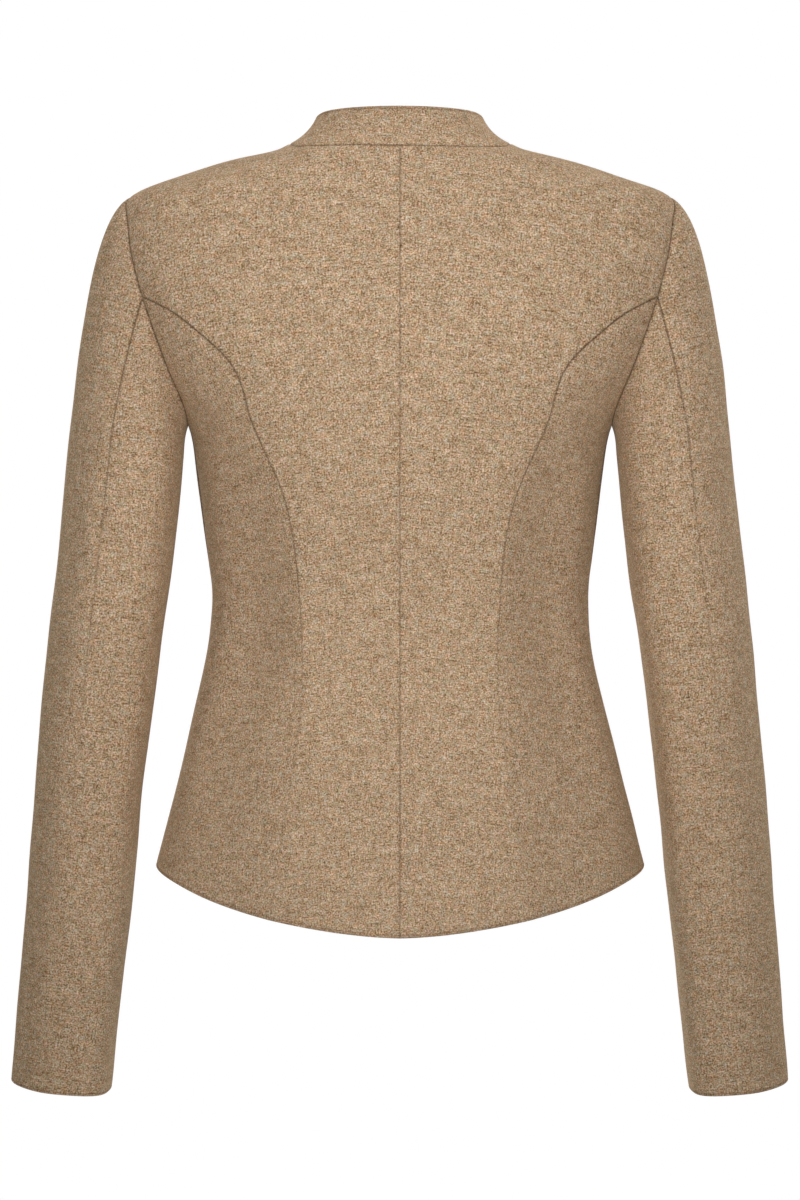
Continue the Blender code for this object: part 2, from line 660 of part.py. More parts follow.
def main():
    for thing in list(bpy.data.objects):
        bpy.data.objects.remove(thing)
    loden, horn = make_material(*LODEN), make_material(*HORN)
    pattern, edge = body_pattern()

    loop = armhole_loop(edge)
    grid = sleeve_grid(loop)
    normals = grid_normals(grid, closed=True)
    seam_offsets = np.array([mitre(loop[i][1], normals[0, i], CLOTH) for i in range(len(loop))])
    marks = np.cumsum([0, ARMHOLE_UPPER_CELLS, ARMHOLE_LOWER_CELLS, ARMHOLE_LOWER_CELLS, ARMHOLE_UPPER_CELLS])
    round_loop = np.concatenate([seam_offsets, seam_offsets[:1]])
    armhole_offsets = {
        "back_upper": round_loop[marks[0]:marks[1] + 1],
        "back_lower": round_loop[marks[1]:marks[2] + 1],
        "front_lower": round_loop[marks[2]:marks[3] + 1][::-1],
        "front_upper": round_loop[marks[3]:marks[4] + 1][::-1],
    }

    base, base_normals = collar_base()
    collar = collar_grid(base, base_normals)
    collar_normals = grid_normals(collar)
    middle = len(base) // 2
    if collar_normals[0, middle] @ base_normals[middle] < 0:
        collar_normals = -collar_normals
    neck = np.array([mitre(n, own, CLOTH) for n, own in zip(base_normals, collar_normals[0])])
    front_neck = neck[:NECK_CELLS + 1][::-1]
    neck_offsets = {"back": neck[NECK_CELLS:middle + 1][::-1], "front": front_neck}

    build_body(pattern, edge, armhole_offsets, neck_offsets, loden)
    build_sleeves(loop, grid, normals, seam_offsets, loden)
    collar_offsets = -collar_normals * COLLAR_CLOTH
    collar_offsets[0] = neck
    cloth_piece("collar", collar, collar_offsets, loden)
    build_buttons(horn)


main()
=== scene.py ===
import math

import bpy
import numpy as np
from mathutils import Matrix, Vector


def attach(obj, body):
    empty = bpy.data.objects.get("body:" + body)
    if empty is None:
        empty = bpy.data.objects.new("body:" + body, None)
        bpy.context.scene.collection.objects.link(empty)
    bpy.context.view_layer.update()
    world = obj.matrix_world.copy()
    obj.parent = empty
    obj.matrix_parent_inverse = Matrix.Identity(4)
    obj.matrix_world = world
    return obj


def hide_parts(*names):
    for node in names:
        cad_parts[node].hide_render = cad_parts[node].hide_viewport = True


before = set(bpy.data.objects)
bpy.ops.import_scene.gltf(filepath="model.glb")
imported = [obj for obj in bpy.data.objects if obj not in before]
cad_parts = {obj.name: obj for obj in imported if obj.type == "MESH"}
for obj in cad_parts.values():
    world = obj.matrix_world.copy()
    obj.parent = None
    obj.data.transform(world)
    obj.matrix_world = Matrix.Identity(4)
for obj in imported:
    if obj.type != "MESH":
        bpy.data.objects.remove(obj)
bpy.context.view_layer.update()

mm = 0.001  # the tables below are in millimetres
cloth = {
    "thickness": 2.2,
    "collarThickness": 2.8,
    "hemDepth": 32.0,  # how far the cloth is turned up inside a hem
    "hemThickness": 1.1,  # what the turned-up cloth adds
    "seamDepth": 0.85,  # how far the cloth rolls in at its strongest seam
    "seamWidth": 2.1,
    "leastRoll": 0.25,  # share of that depth at a seam that hardly shows
    "innerRoll": 0.4,  # share of the roll that the inside follows
    "seamShadow": 0.7,  # width of the shadow line painted along a seam, where the stitches draw the cloth in
    "pressLine": 2.0,  # the fine line along a pressed edge, from that edge
    "pressDepth": 0.28,
    "pressWidth": 0.32,
    "pressShade": 0.42,  # width of the shadow line painted along it
    "rounding": 1.3,  # how far in from an edge its rounding starts
    "edgeShadow": 1.1,  # how far in from an edge shade is painted on it
    "mitreReach": 10.0,  # how far in the cloth turns to the way it shares with its neighbour
    "leastSlant": 0.25,  # the most that a slanting grid shortens a distance from its border
    "cell": 3.4,  # size of the grid's cells
}
seamLooks = {  # how strongly each seam shows in its roll and in its painted shadow, from 0 to 1, as heights and strengths
    "neck": ((-80, 0.8), (10, 0.8)),
    "centreBack": ((-550, 0.55), (-300, 0.5), (0, 0.55)),
    "backOutline": ((-545, 0.14), (-450, 0.2), (-360, 0.38), (-320, 0.6), (-250, 0.8), (-180, 0.9),
                    (-113, 1.0)),
    "frontOutline": ((-530, 0.25), (-350, 0.4), (-250, 0.7), (-126, 0.9), (-122, 1.0)),
    "armhole": ((-200, 1.0), (0, 1.0)),
    "shoulder": ((-36, 0.12), (2, 0.2)),
    "side": ((-510, 0.3), (-196, 0.4)),
    "sleeveBack": ((-665, 0.05), (-480, 0.08), (-330, 0.25), (-240, 0.45), (-150, 0.75), (-109, 0.85)),
    "sleeveFront": ((-665, 0.2), (-150, 0.4)),
}
seamSteps = (0.0, 0.3, 0.7, 1.2, 2.1)  # grid lines next to a seam
edgeSteps = (0.0, 0.3, 0.8, 1.3, 1.65, 2.0, 2.35, 3.0)  # and next to a pressed edge
mirror = np.array([-1.0, 1.0, 1.0])
print("frame loaded")

# the form that the cloth lies on
bodyColumns = ("height", "halfWidth", "back", "front", "side", "backSquare", "frontSquare")
bodyRows = (
    (8, 60, 48.5, -44, 0, 2, 2),
    (2, 78, 51, -47.5, 0, 2, 2),
    (-3, 88.5, 53, -49.5, 0, 2.02, 2),
    (-9, 114, 55.5, -52, 0, 2.06, 2),
    (-16, 138.2, 59, -54.5, 0, 2.12, 2.04),
    (-23, 159, 62, -57, 0, 2.20, 2.08),
    (-30, 178.2, 65, -60, 0, 2.32, 2.13),
    (-35.5, 188.5, 67, -62, -0.2, 2.44, 2.20),
    (-50, 195.5, 72, -68, -1, 2.70, 2.30),
    (-70, 196, 78.5, -76.5, -2.5, 2.98, 2.40),
    (-110, 188, 88, -93.5, -5, 3.25, 2.50),
    (-142, 177, 93, -109, -7, 3.25, 2.50),
    (-164, 166.5, 95, -119.5, -8, 3.10, 2.50),
    (-182, 156.5, 95.5, -127, -9, 2.92, 2.48),
    (-196, 149.7, 95, -131.5, -10, 2.78, 2.45),
    (-221, 143.8, 92.5, -136, -11.5, 2.60, 2.40),
    (-249, 139.6, 88, -136, -13, 2.48, 2.36),
    (-291, 135, 80, -125, -15, 2.38, 2.32),
    (-320, 133, 77, -117, -15, 2.35, 2.30),
    (-348, 135, 78.5, -113.5, -13, 2.35, 2.30),
    (-390, 143.5, 87, -112.5, -9, 2.35, 2.30),
    (-446, 157.2, 98.5, -114, -5, 2.35, 2.30),
    (-503, 171.5, 106, -115, -3, 2.35, 2.30),
    (-560, 184.5, 109.5, -115, -2, 2.35, 2.30),
)
bust = {"x": 84.0, "height": -236.0, "spread": 46.0, "lift": 7.0}
hemRows = ((-110, -524.5), (-90, -524), (-68, -518), (-45, -509), (-20, -503.2), (0, -506.2),
           (27, -515.6), (43, -525.4), (60, -536.8), (90, -549.5), (110, -547))
neckBackRows = ((0, -4.3), (40, -4), (60, -3.3), (70, -2.4), (75, -1), (78, 2))
neckFrontRows = ((-18, -77), (-9, -72.5), (0, -70), (20, -67), (40, -58), (58, -42),
                 (70, -22), (76, -6), (78, 2))
armholeBackRows = ((-35.5, 0), (-50, 4.4), (-68, 7.6), (-90, 9.4), (-109, 9.6), (-142, 8.2),
                   (-164, 5.4), (-182, 2.6), (-196, 0))
armholeFrontRows = ((-35.5, 0), (-50, 6), (-70, 11.5), (-95, 15), (-122, 16), (-142, 14),
                    (-164, 10), (-182, 5), (-196, 0))
princessBackRows = ((-109, None), (-121, 157), (-136, 138), (-153, 119.5), (-192, 103.5),
                    (-245, 81), (-302, 70.5), (-350, 67.3), (-402, 69), (-455, 76.5), (-545, 90))
princessFrontRows = ((-122, None), (-136, 149), (-153, 131), (-190, 107), (-236, 89),
                     (-290, 79), (-330, 75.5), (-380, 77), (-440, 82), (-530, 92))
flankRows = ((-109, 0), (-150, 1.5), (-200, 4), (-260, 7.5), (-320, 10), (-360, 11),
             (-420, 11), (-480, 10), (-560, 8.5))  # how far a side back panel is flattened
shoulderTop, shoulderEnd, underarm, neckSide = 2.0, -35.5, -196.0, 78.0


def norm(vectors):
    return np.linalg.norm(vectors, axis=-1)


def unit(vectors):
    return vectors / np.maximum(norm(vectors)[..., None], 1e-9)


def stacked(*columns):
    return np.stack(columns, axis=-1)


def cosSin(degrees):
    return np.cos(np.radians(degrees)), np.sin(np.radians(degrees))


def smoothCurve(rows, column=1):  # a smooth curve through a table's rows, straight past its ends
    rows = sorted(rows, key=lambda row: row[0])
    keys = np.array([row[0] for row in rows], float)
    values = np.array([row[column] for row in rows], float)
    step = np.diff(keys)
    slope = np.diff(values) / step
    system, bend = np.eye(len(keys)), np.zeros(len(keys))
    for i in range(1, len(keys) - 1):
        system[i, i - 1:i + 2] = step[i - 1], 2 * (step[i - 1] + step[i]), step[i]
        bend[i] = 6 * (slope[i] - slope[i - 1])
    second = np.linalg.solve(system, bend)
    first = slope - step * (2 * second[:-1] + second[1:]) / 6
    last = slope[-1] + step[-1] * (second[-2] + 2 * second[-1]) / 6
    cubic = np.diff(second) / (6 * step)

    def at(key):
        key = np.asarray(key, float)
        i = np.clip(np.searchsorted(keys, key, side="right") - 1, 0, len(step) - 1)
        t = np.clip(key, keys[0], keys[-1]) - keys[i]
        inside = values[i] + first[i] * t + second[i] / 2 * t * t + cubic[i] * t ** 3
        before, after = np.minimum(key - keys[0], 0), np.maximum(key - keys[-1], 0)
        return inside + first[0] * before + last * after

    return at


def curvesOf(columns, rows):
    return {name: smoothCurve(rows, i) for i, name in enumerate(columns) if i}


body = curvesOf(bodyColumns, bodyRows)
hemAt, flankAt = smoothCurve(hemRows), smoothCurve(flankRows)
backEdgeAt = smoothCurve(princessBackRows[1:])


def ringSizes(height, back):
    side = body["side"](height)
    depth = np.where(back, body["back"](height) - side, side - body["front"](height))
    square = np.where(back, body["backSquare"](height), body["frontSquare"](height))
    return body["halfWidth"](height), depth, side, square


def ringValue(x, y, height, back):
    halfWidth, depth, side, square = ringSizes(height, back)
    return (np.abs(x) / halfWidth) ** square + (np.abs(y - side) / depth) ** square


def bodySurface(places):  # places are bearing and height; gives the points and the way the cloth faces
    bearing, height = places[..., 0], places[..., 1]
    back = bearing > 0
    halfWidth, depth, side, square = ringSizes(height, back)
    across, along = cosSin(bearing)
    reach = (np.abs(across) ** square + np.abs(along) ** square) ** (-1 / square)
    x = halfWidth * reach * across
    y = side + depth * reach * np.abs(along) * np.where(back, 1, -1)
    step = 0.2  # for the slopes of the surface
    normals = unit(stacked(
        ringValue(x + step, y, height, back) - ringValue(x - step, y, height, back),
        ringValue(x, y + step, height, back) - ringValue(x, y - step, height, back),
        ringValue(x, y, height + step, back) - ringValue(x, y, height - step, back)))
    away = (np.abs(x) - bust["x"]) ** 2 + (height - bust["height"]) ** 2
    lift = np.where(back, 0, bust["lift"] * np.exp(-away / bust["spread"] ** 2))
    share = np.clip(bearing / bearingAt(backEdgeAt(height), height, True), 0, 1)
    hollow = share ** 2 * (1 - share) * 27 / 4  # 1 at two thirds of the way to the princess seam
    flank = np.where(back & (height < flankRows[0][0]), flankAt(height) * hollow, 0)
    return stacked(x, y, height) + normals * (lift - flank)[..., None], normals


def bearingAt(x, height, back):  # the bearing of the body's point that far from the centre line
    halfWidth, _, _, square = ringSizes(height, back)
    ratio = np.maximum(halfWidth / np.maximum(np.abs(x), 1e-6), 1)
    bearing = np.degrees(np.arctan((ratio ** square - 1) ** (1 / square)))
    bearing = np.where(x < 0, 180 - bearing, bearing)
    return np.where(back, bearing, -bearing)


def placesAt(x, height, back):
    return stacked(bearingAt(x, height, back), height)


# the seams, as bearings and heights

sampling = (1 - np.cos(np.linspace(0, math.pi, 401))) / 2  # closer together at both ends


def sampled(start, stop):
    return start + (stop - start) * sampling


def seamDown(xAt, back, start, stop):
    height = sampled(start, stop)
    return placesAt(xAt(height), height, back)


def neckEdge(rows, back, start, stop):
    x = sampled(start, stop)
    return placesAt(x, smoothCurve(rows)(x), back)


def straightDown(bearing, start, stop):
    return stacked(0 * sampling + bearing, sampled(start, stop))


def hemLine(start, stop):
    bearing = sampled(start, stop)
    return stacked(bearing, hemAt(bearing))


def armholeX(rows):
    inset = smoothCurve(rows)
    return lambda height: body["halfWidth"](height) - np.maximum(inset(height), 0)


def princessSeam(rows, back, armhole):
    start = rows[0][0]
    xAt = smoothCurve(((start, float(armhole(start))),) + rows[1:])
    stop = start
    while stop > hemAt(bearingAt(xAt(stop), stop, back)):
        stop -= 0.5
    return seamDown(xAt, back, start, stop)


def distanceAlong(points):
    return np.concatenate([[0], np.cumsum(norm(np.diff(points, axis=0)))])


def readAt(wanted, keys, rows):  # the values between a table's rows
    return stacked(*[np.interp(wanted, keys, column) for column in rows.T])


def seamLength(seam):
    return distanceAlong(bodySurface(seam)[0])


def sampleSeam(seam, shares):  # places at those shares of the seam's length
    length = seamLength(seam)
    return readAt(np.asarray(shares) * length[-1], length, seam)


def spaced(length, start=(0.0,), end=(0.0,), cell=cloth["cell"]):
    # shares of a length, a cell apart, with closer ones where an edge needs them
    first, last = start[-1], length - end[-1]
    inner = np.linspace(first, last, max(2, round((last - first) / cell)) + 1)
    steps = list(start[:-1]) + list(inner) + [length - d for d in reversed(end[:-1])]
    return np.array(steps) / length


def joined(*rows):  # runs of places, each starting where the one before ends
    return np.concatenate([rows[0]] + [row[1:] for row in rows[1:]])


def fillBetween(top, bottom, left, right, across, down=None):
    # places between four edges that meet at their ends
    u = across[None, :, None]
    if down is None:
        down = (left[:, 1] - left[0, 1]) / (left[-1, 1] - left[0, 1])
    v = down[:, None, None]
    corners = ((1 - u) * (1 - v) * top[0] + u * (1 - v) * top[-1]
               + (1 - u) * v * bottom[0] + u * v * bottom[-1])
    return (1 - v) * top[None] + v * bottom[None] + (1 - u) * left[:, None] + u * right[:, None] - corners


armBack, armFront = armholeX(armholeBackRows), armholeX(armholeFrontRows)
joinBack, joinFront = princessBackRows[0][0], princessFrontRows[0][0]
seams = {
    "neckBack": neckEdge(neckBackRows, True, 0.0, neckSide),
    "neckFront": neckEdge(neckFrontRows, False, neckSide, 0.0),
    "shoulder": straightDown(0.0, shoulderTop, shoulderEnd),
    "backUpper": seamDown(armBack, True, shoulderEnd, joinBack),
    "backLower": seamDown(armBack, True, joinBack, underarm),
    "frontUpper": seamDown(armFront, False, shoulderEnd, joinFront),
    "frontLower": seamDown(armFront, False, joinFront, underarm),
    "princessBack": princessSeam(princessBackRows, True, armBack),
    "princessFront": princessSeam(princessFrontRows, False, armFront),
    "side": straightDown(0.0, underarm, float(hemAt(0))),
}
lengths = {name: seamLength(seam)[-1] for name, seam in seams.items()}
print("seams drawn")

# creases and softness, as places in the room, so that neighbours share them

creases = (
    # start, end, width and depth; a crease runs between its ends and fades out at both
    ((150, 78, -150), (112, 92, -196), 11, 1.1),
    ((-146, 78, -158), (-118, 92, -190), 10, 0.9),
    ((140, 45, -300), (84, 72, -322), 12, 1.3),
    ((-138, 48, -308), (-90, 70, -318), 11, 1.1),
    ((134, 40, -338), (96, 70, -346), 10, 0.9),
    ((-136, 40, -342), (-84, 74, -352), 12, 1),
    ((60, 78, -352), (-30, 80, -347), 13, 0.8),
    ((150, -20, -318), (92, -92, -330), 12, 1.3),
    ((-148, -24, -310), (-96, -90, -326), 12, 1.2),
    ((140, -78, -206), (112, -112, -224), 11, 1.2),
    ((-142, -76, -202), (-110, -114, -228), 12, 1.2),
    ((60, -104, -128), (116, -88, -156), 14, 1),
    ((-56, -104, -132), (-118, -86, -150), 13, 0.9),
    ((20, -116, -335), (-58, -112, -342), 12, 0.9),
    # hollows down the side backs
    ((105, 60, -232), (101, 41, -335), 19, 2.5),
    ((101, 41, -335), (126, 55, -460), 20, 3.6),
    ((-106, 60, -228), (-102, 41, -335), 19, 2.6),
    ((-102, 41, -335), (-125, 55, -458), 21, 3.5),
    # sleeves
    ((164, 34, -236), (206, 50, -262), 10, 1.5),
    ((-166, 36, -232), (-204, 50, -256), 10, 1.4),
    ((166, 42, -300), (212, 50, -316), 12, 1.1),
    ((-166, 44, -306), (-208, 50, -326), 12, 1.2),
    ((176, 38, -372), (222, 46, -390), 10, 1.3),
    ((-176, 40, -378), (-220, 46, -392), 11, 1.2),
    ((180, 32, -414), (214, 44, -408), 9, 1.1),
    ((-180, 34, -418), (-216, 42, -410), 10, 1.1),
    ((170, -40, -330), (214, -50, -346), 12, 1.4),
    ((-170, -40, -326), (-212, -50, -344), 12, 1.4),
    ((178, -44, -386), (224, -46, -378), 11, 1.6),
    ((-178, -44, -380), (-222, -46, -372), 11, 1.6),
    ((182, -46, -420), (222, -50, -428), 11, 1.2),
    ((-182, -46, -416), (-220, -50, -424), 11, 1.2),
    ((204, 12, -560), (240, 32, -572), 13, 0.8),
    ((-204, 12, -566), (-240, 32, -576), 13, 0.8),
)
creaseForm = {"bow": 0.12, "past": 0.3, "fade": 2.2, "uneven": 0.25, "unevenTurn": 7,
              "ridge": 0.4, "ridgeAway": 1.9, "ridgeWidth": 0.6}
softness = {"height": 0.45, "waves": 9, "turn": 2.4, "firstTurn": 0.7, "length": 16, "longer": 5,
            "shift": 1.9}


def creaseDepth(points):  # how far the cloth lies in from its form
    depth = np.zeros(points.shape[:-1])
    for start, end, width, deep in creases:
        start, end = np.array(start, float), np.array(end, float)
        run = end - start
        t = ((points - start) @ run) / (run @ run)
        nearest = start + np.clip(t, -creaseForm["past"], 1 + creaseForm["past"])[..., None] * run
        nearest[..., 2] += creaseForm["bow"] * norm(run) * np.sin(math.pi * np.clip(t, 0, 1))
        away = norm(points - nearest) / width
        fade = np.clip(1 - np.abs(2 * t - 1) ** 3 / creaseForm["fade"], 0, 1)
        uneven = 1 + creaseForm["uneven"] * np.sin(creaseForm["unevenTurn"] * t + start[0])
        beside = (away - creaseForm["ridgeAway"]) ** 2 / creaseForm["ridgeWidth"]
        depth += deep * fade * uneven * (np.exp(-away ** 2) - creaseForm["ridge"] * np.exp(-beside))
    for i in range(softness["waves"]):
        turn = softness["turn"] * i + softness["firstTurn"]
        way = np.array([math.cos(turn), math.sin(turn) * 0.7, math.sin(turn * 1.7)])
        way = way / (softness["length"] + softness["longer"] * i)
        wave = np.sin(points @ way * 2 + softness["shift"] * i) * (0.6 + 0.1 * i)
        depth += softness["height"] / 3 * wave
    return depth


# from a grid of points to a piece of cloth

def distanceFrom(border, points, straight=False):
    # each grid point's distance from one border of the grid, along the grid or straight across
    turned, way = border in ("left", "right"), -1 if border in ("bottom", "right") else 1
    lines = (points.swapaxes(0, 1) if turned else points)[::way]
    distance = np.pad(np.cumsum(norm(np.diff(lines, axis=0)), axis=0), [(1, 0), (0, 0)])
    if straight:
        along, away = unit(np.gradient(lines[0], axis=0)), unit(lines[1] - lines[0])
        distance *= np.maximum(norm(np.cross(along, away)), cloth["leastSlant"])
    return distance[::way].T if turned else distance[::way]


def gridQuads(rows, columns):
    number = np.arange(rows * columns).reshape(rows, columns)
    quads = np.stack([number[:-1, :-1], number[:-1, 1:], number[1:, 1:], number[1:, :-1]], -1).reshape(-1, 4)
    rim = np.concatenate([number[0, :-1], number[:-1, -1], number[-1, :0:-1], number[:0:-1, 0]])
    return quads, rim


def gridArea(grid):
    return norm(np.cross(grid[1:, 1:] - grid[:-1, :-1], grid[1:, :-1] - grid[:-1, 1:])).sum() / 2


def linked(name, data):
    thing = bpy.data.objects.new(name, data)
    bpy.context.scene.collection.objects.link(thing)
    return thing


def flatCut(points, grain):  # the piece laid flat as it was cut, in metres, with its grain upright
    rows, columns = points.shape[:2]
    mesh = bpy.data.meshes.new("flat")
    mesh.from_pydata((points.reshape(-1, 3) * mm).tolist(), [], gridQuads(rows, columns)[0].tolist())
    mesh.uv_layers.new(name="cut")
    sheet = linked("flat", mesh)
    bpy.context.view_layer.objects.active = sheet
    bpy.ops.object.mode_set(mode="EDIT")
    bpy.ops.mesh.select_all(action="SELECT")
    bpy.ops.uv.unwrap(method="CONFORMAL", margin=0)
    bpy.ops.object.mode_set(mode="OBJECT")
    corners, places = np.zeros(len(mesh.loops), int), np.zeros(len(mesh.loops) * 2)
    mesh.loops.foreach_get("vertex_index", corners)
    mesh.uv_layers["cut"].data.foreach_get("uv", places)
    flat = np.zeros((rows * columns, 3))
    flat[corners, :2] = places.reshape(-1, 2)
    bpy.data.objects.remove(sheet)
    bpy.data.meshes.remove(mesh)
    flat = flat.reshape(rows, columns, 3)
    flat = (flat - flat.mean(axis=(0, 1))) * math.sqrt(gridArea(points) / gridArea(flat)) * mm
    down = np.sum((points[1:] - points[:-1]) * grain[:-1], axis=2)
    upright = unit(np.sum((flat[1:] - flat[:-1]) * down[..., None], axis=(0, 1)))
    across = np.array([-upright[1], upright[0], 0.0])
    return stacked(flat @ across, -(flat @ upright))


def addPiece(name, vertices, faces, materials):
    mesh = bpy.data.meshes.new(name)
    mesh.from_pydata((vertices * mm).tolist(), [], faces)
    mesh.polygons.foreach_set("use_smooth", [True] * len(mesh.polygons))
    for material in materials:
        mesh.materials.append(material)
    mesh.validate()
    mesh.update()
    piece = linked(name, mesh)
    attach(piece, "root")
    return piece


patterns = {}


def buildCloth(part, side, points, normals, grain, look, edges, thickness=cloth["thickness"], sink=0.0):
    # edges says what each border of the grid is: a seam by name, edge or hem, or two of these and the
    # row where they meet. The right side is the left one turned over, and sink is extra depth.
    name = part + side.title()
    if part not in patterns:
        patterns[part] = flatCut(points, grain)
    flat = patterns[part]
    if side == "right":
        points, normals, flat = points * mirror, normals * mirror, flat * (-1, 1)
    rows, columns = points.shape[:2]
    toEdge, toHem = np.full((rows, columns), 1e3), np.full((rows, columns), 1e3)
    roll, seamShadow = np.zeros((rows, columns)), np.zeros((rows, columns))
    for border, kinds in edges.items():
        distance = distanceFrom(border, points, straight=True)
        upper, bend, lower = (kinds, rows, kinds) if isinstance(kinds, str) else kinds
        for kind, share in ((upper, slice(0, bend + 1)), (lower, slice(bend + 1, rows))):
            near = distance[share]
            if kind in seamLooks:
                strength = np.interp(points[share][..., 2], *zip(*seamLooks[kind]))
                rolled = cloth["seamDepth"] * (cloth["leastRoll"] + (1 - cloth["leastRoll"]) * strength)
                rolled *= np.clip(1 - near / cloth["seamWidth"], 0, 1) ** 2
                # the seam's shadow, painted into the cloth's colour as a dark line
                paintedShadow = strength * np.exp(-(near / cloth["seamShadow"]) ** 2)
                roll[share] = np.maximum(roll[share], rolled)
                seamShadow[share] = np.maximum(seamShadow[share], paintedShadow)
            else:
                toEdge[share] = np.minimum(toEdge[share], near)
                if kind == "hem":
                    toHem[share] = np.minimum(toHem[share], near)
    toPress = toEdge - cloth["pressLine"]
    press = cloth["pressDepth"] * np.exp(-(toPress / cloth["pressWidth"]) ** 2)
    wall = thickness + cloth["hemThickness"] * (toHem < cloth["hemDepth"])
    rounding = wall / 2 * (1 - np.sqrt(1 - np.clip(1 - toEdge / cloth["rounding"], 0, 1) ** 2))
    crease = creaseDepth(points) + sink
    outer = points - normals * (crease + roll + press + rounding)[..., None]
    inner = points - normals * (crease + roll * cloth["innerRoll"] + wall - rounding)[..., None]

    quads, ring = gridQuads(rows, columns)
    count, nextOne = rows * columns, np.roll(ring, -1)
    rim = np.stack([ring, ring + count, nextOne + count, nextOne], -1)
    middle = quads[len(quads) // 2]
    first = points.reshape(-1, 3)[middle]
    if np.cross(first[2] - first[0], first[3] - first[1]) @ normals.reshape(-1, 3)[middle[0]] < 0:
        quads, rim = quads[:, ::-1], rim[:, ::-1]
    faces = np.concatenate([quads, quads[:, ::-1] + count, rim])
    piece = addPiece(name, np.concatenate([outer.reshape(-1, 3), inner.reshape(-1, 3)]), faces.tolist(),
                     [clothMaterial, insideMaterial])
    mesh = piece.data
    which = np.repeat([0, 1, 0], [len(quads), len(quads), len(rim)])
    mesh.polygons.foreach_set("material_index", which)
    corners = np.zeros(len(mesh.loops), int)
    mesh.loops.foreach_get("vertex_index", corners)
    uvs = np.tile(flat.reshape(-1, 2), (2, 1)) + look["offset"][side == "right"]
    mesh.uv_layers.new(name="cut").data.foreach_set("uv", uvs[corners].ravel())
    # masks of the shade painted along seams, pressed lines and edges
    lines = {"seamShadow": seamShadow, "pressLine": np.exp(-(toPress / cloth["pressShade"]) ** 2),
             "edgeShadow": np.exp(-(toEdge / cloth["edgeShadow"]) ** 2)}
    for label, values in lines.items():
        attribute = mesh.attributes.new(label, "FLOAT", "POINT")
        attribute.data.foreach_set("value", np.concatenate([values.ravel(), np.zeros(count)]))

    size = np.ptp(flat.reshape(-1, 2), axis=0)
    area = gridArea(points) * mm * mm
    print(f"{name}: cut {size[0]:.3f} x {size[1]:.3f} m, {area:.4f} square metres, {len(faces)} faces")
    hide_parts(look["node"].format(side))


def mitred(border, points, normals, ways):
    # near a folded seam the cloth turns towards the way that it shares with its neighbour
    weight = np.clip(1 - distanceFrom(border, points) / cloth["mitreReach"], 0, 1)[..., None] ** 2
    return unit(normals * (1 - weight) + (ways[None] if border == "top" else ways[:, None]) * weight)


# sleeves
sleeveColumns = ("height", "x", "y", "halfWidth", "halfDepth")
sleeveRows = (
    (-160, 188, -2, 40.5, 56),
    (-214, 193, -1, 40.6, 55.5),
    (-290, 201, 1, 40.2, 53),
    (-347, 208, 2, 39.6, 51),
    (-390, 213, 1, 38.9, 49),
    (-432, 217.5, -1.5, 38.4, 47.5),
    (-517, 225.5, -8, 37.2, 44.5),
    (-600, 234, -15, 36.2, 42.5),
    (-668, 240.5, -21, 35.2, 41.5),
)
sleeve = curvesOf(sleeveColumns, sleeveRows)
sleeveShape = {"biceps": -214.0, "cuff": -662.5, "frontTurn": 232.0, "cellStretch": 1.15,
               "square": 2.15, "outerBackSquare": 1.95, "innerBackSquare": 2.9,
               "grain": (-200.0, -640.0)}  # heights between which its warp runs
cap = {"length": 150.0,
       "out": (0.68, 0.30), "along": 0.32, "down": (-0.68, 0.27),  # the way the cloth leaves the armhole
       "straight": 0.9,  # how much it goes straight to the arm in front and behind
       "leave": (0.30, -0.15), "arrive": (0.24, 0.12)}  # reach of the curve, and what the outside adds


def armAxis(height):
    return stacked(sleeve["x"](height), sleeve["y"](height), height)


def sleeveRing(height, turn):  # turn is 0 outside, 90 behind and 180 inside the arm
    height, turn = np.broadcast_arrays(np.asarray(height, float), np.asarray(turn, float))
    centre = armAxis(height)
    axis = unit(armAxis(height - 1) - centre)
    outward = unit(np.array([1.0, 0, 0]) - axis * axis[..., :1])
    backward = np.cross(outward, axis)
    across, along = cosSin(turn)
    own = np.where(across > 0, sleeveShape["outerBackSquare"], sleeveShape["innerBackSquare"])
    square = sleeveShape["square"]
    square = square + np.where(along < 0, 0, own - square) * np.sin(2 * np.radians(turn)) ** 2
    reach = (np.abs(across) ** square + np.abs(along) ** square) ** (-1 / square)
    return (centre + outward * (sleeve["halfWidth"](height) * reach * across)[..., None]
            + backward * (sleeve["halfDepth"](height) * reach * along)[..., None])


halfFront = lengths["frontLower"] / 2  # the front sleeve seam meets the lower front armhole in its middle
armholeRuns = {  # each run of the armhole, its turns, and the shares of its length that are sampled
    "backUpper": (0.0, 79.0, spaced(lengths["backUpper"], end=seamSteps)),
    "backLower": (79.0, 180.0, spaced(lengths["backLower"], start=seamSteps)),
    "frontLower": (180.0, 284.0, joined(spaced(halfFront, end=seamSteps) / 2,
                                        0.5 + spaced(halfFront, start=seamSteps) / 2)),
    "frontUpper": (284.0, 360.0, spaced(lengths["frontUpper"])),
}


def armholeLoop():  # seam points, body normals and turns all round, and where each run starts
    points, normals, turns, starts = [], [], [], {}
    for run, (start, stop, shares) in armholeRuns.items():
        upwards = run.startswith("front")
        places = sampleSeam(seams[run], 1 - shares if upwards else shares)
        runPoints, runNormals = bodySurface(places)
        starts[run] = sum(len(p) for p in points)
        points.append(runPoints[:-1])
        normals.append(runNormals[:-1])
        turns.append((start + (stop - start) * shares)[:-1])
    return np.concatenate(points), np.concatenate(normals), np.concatenate(turns), starts


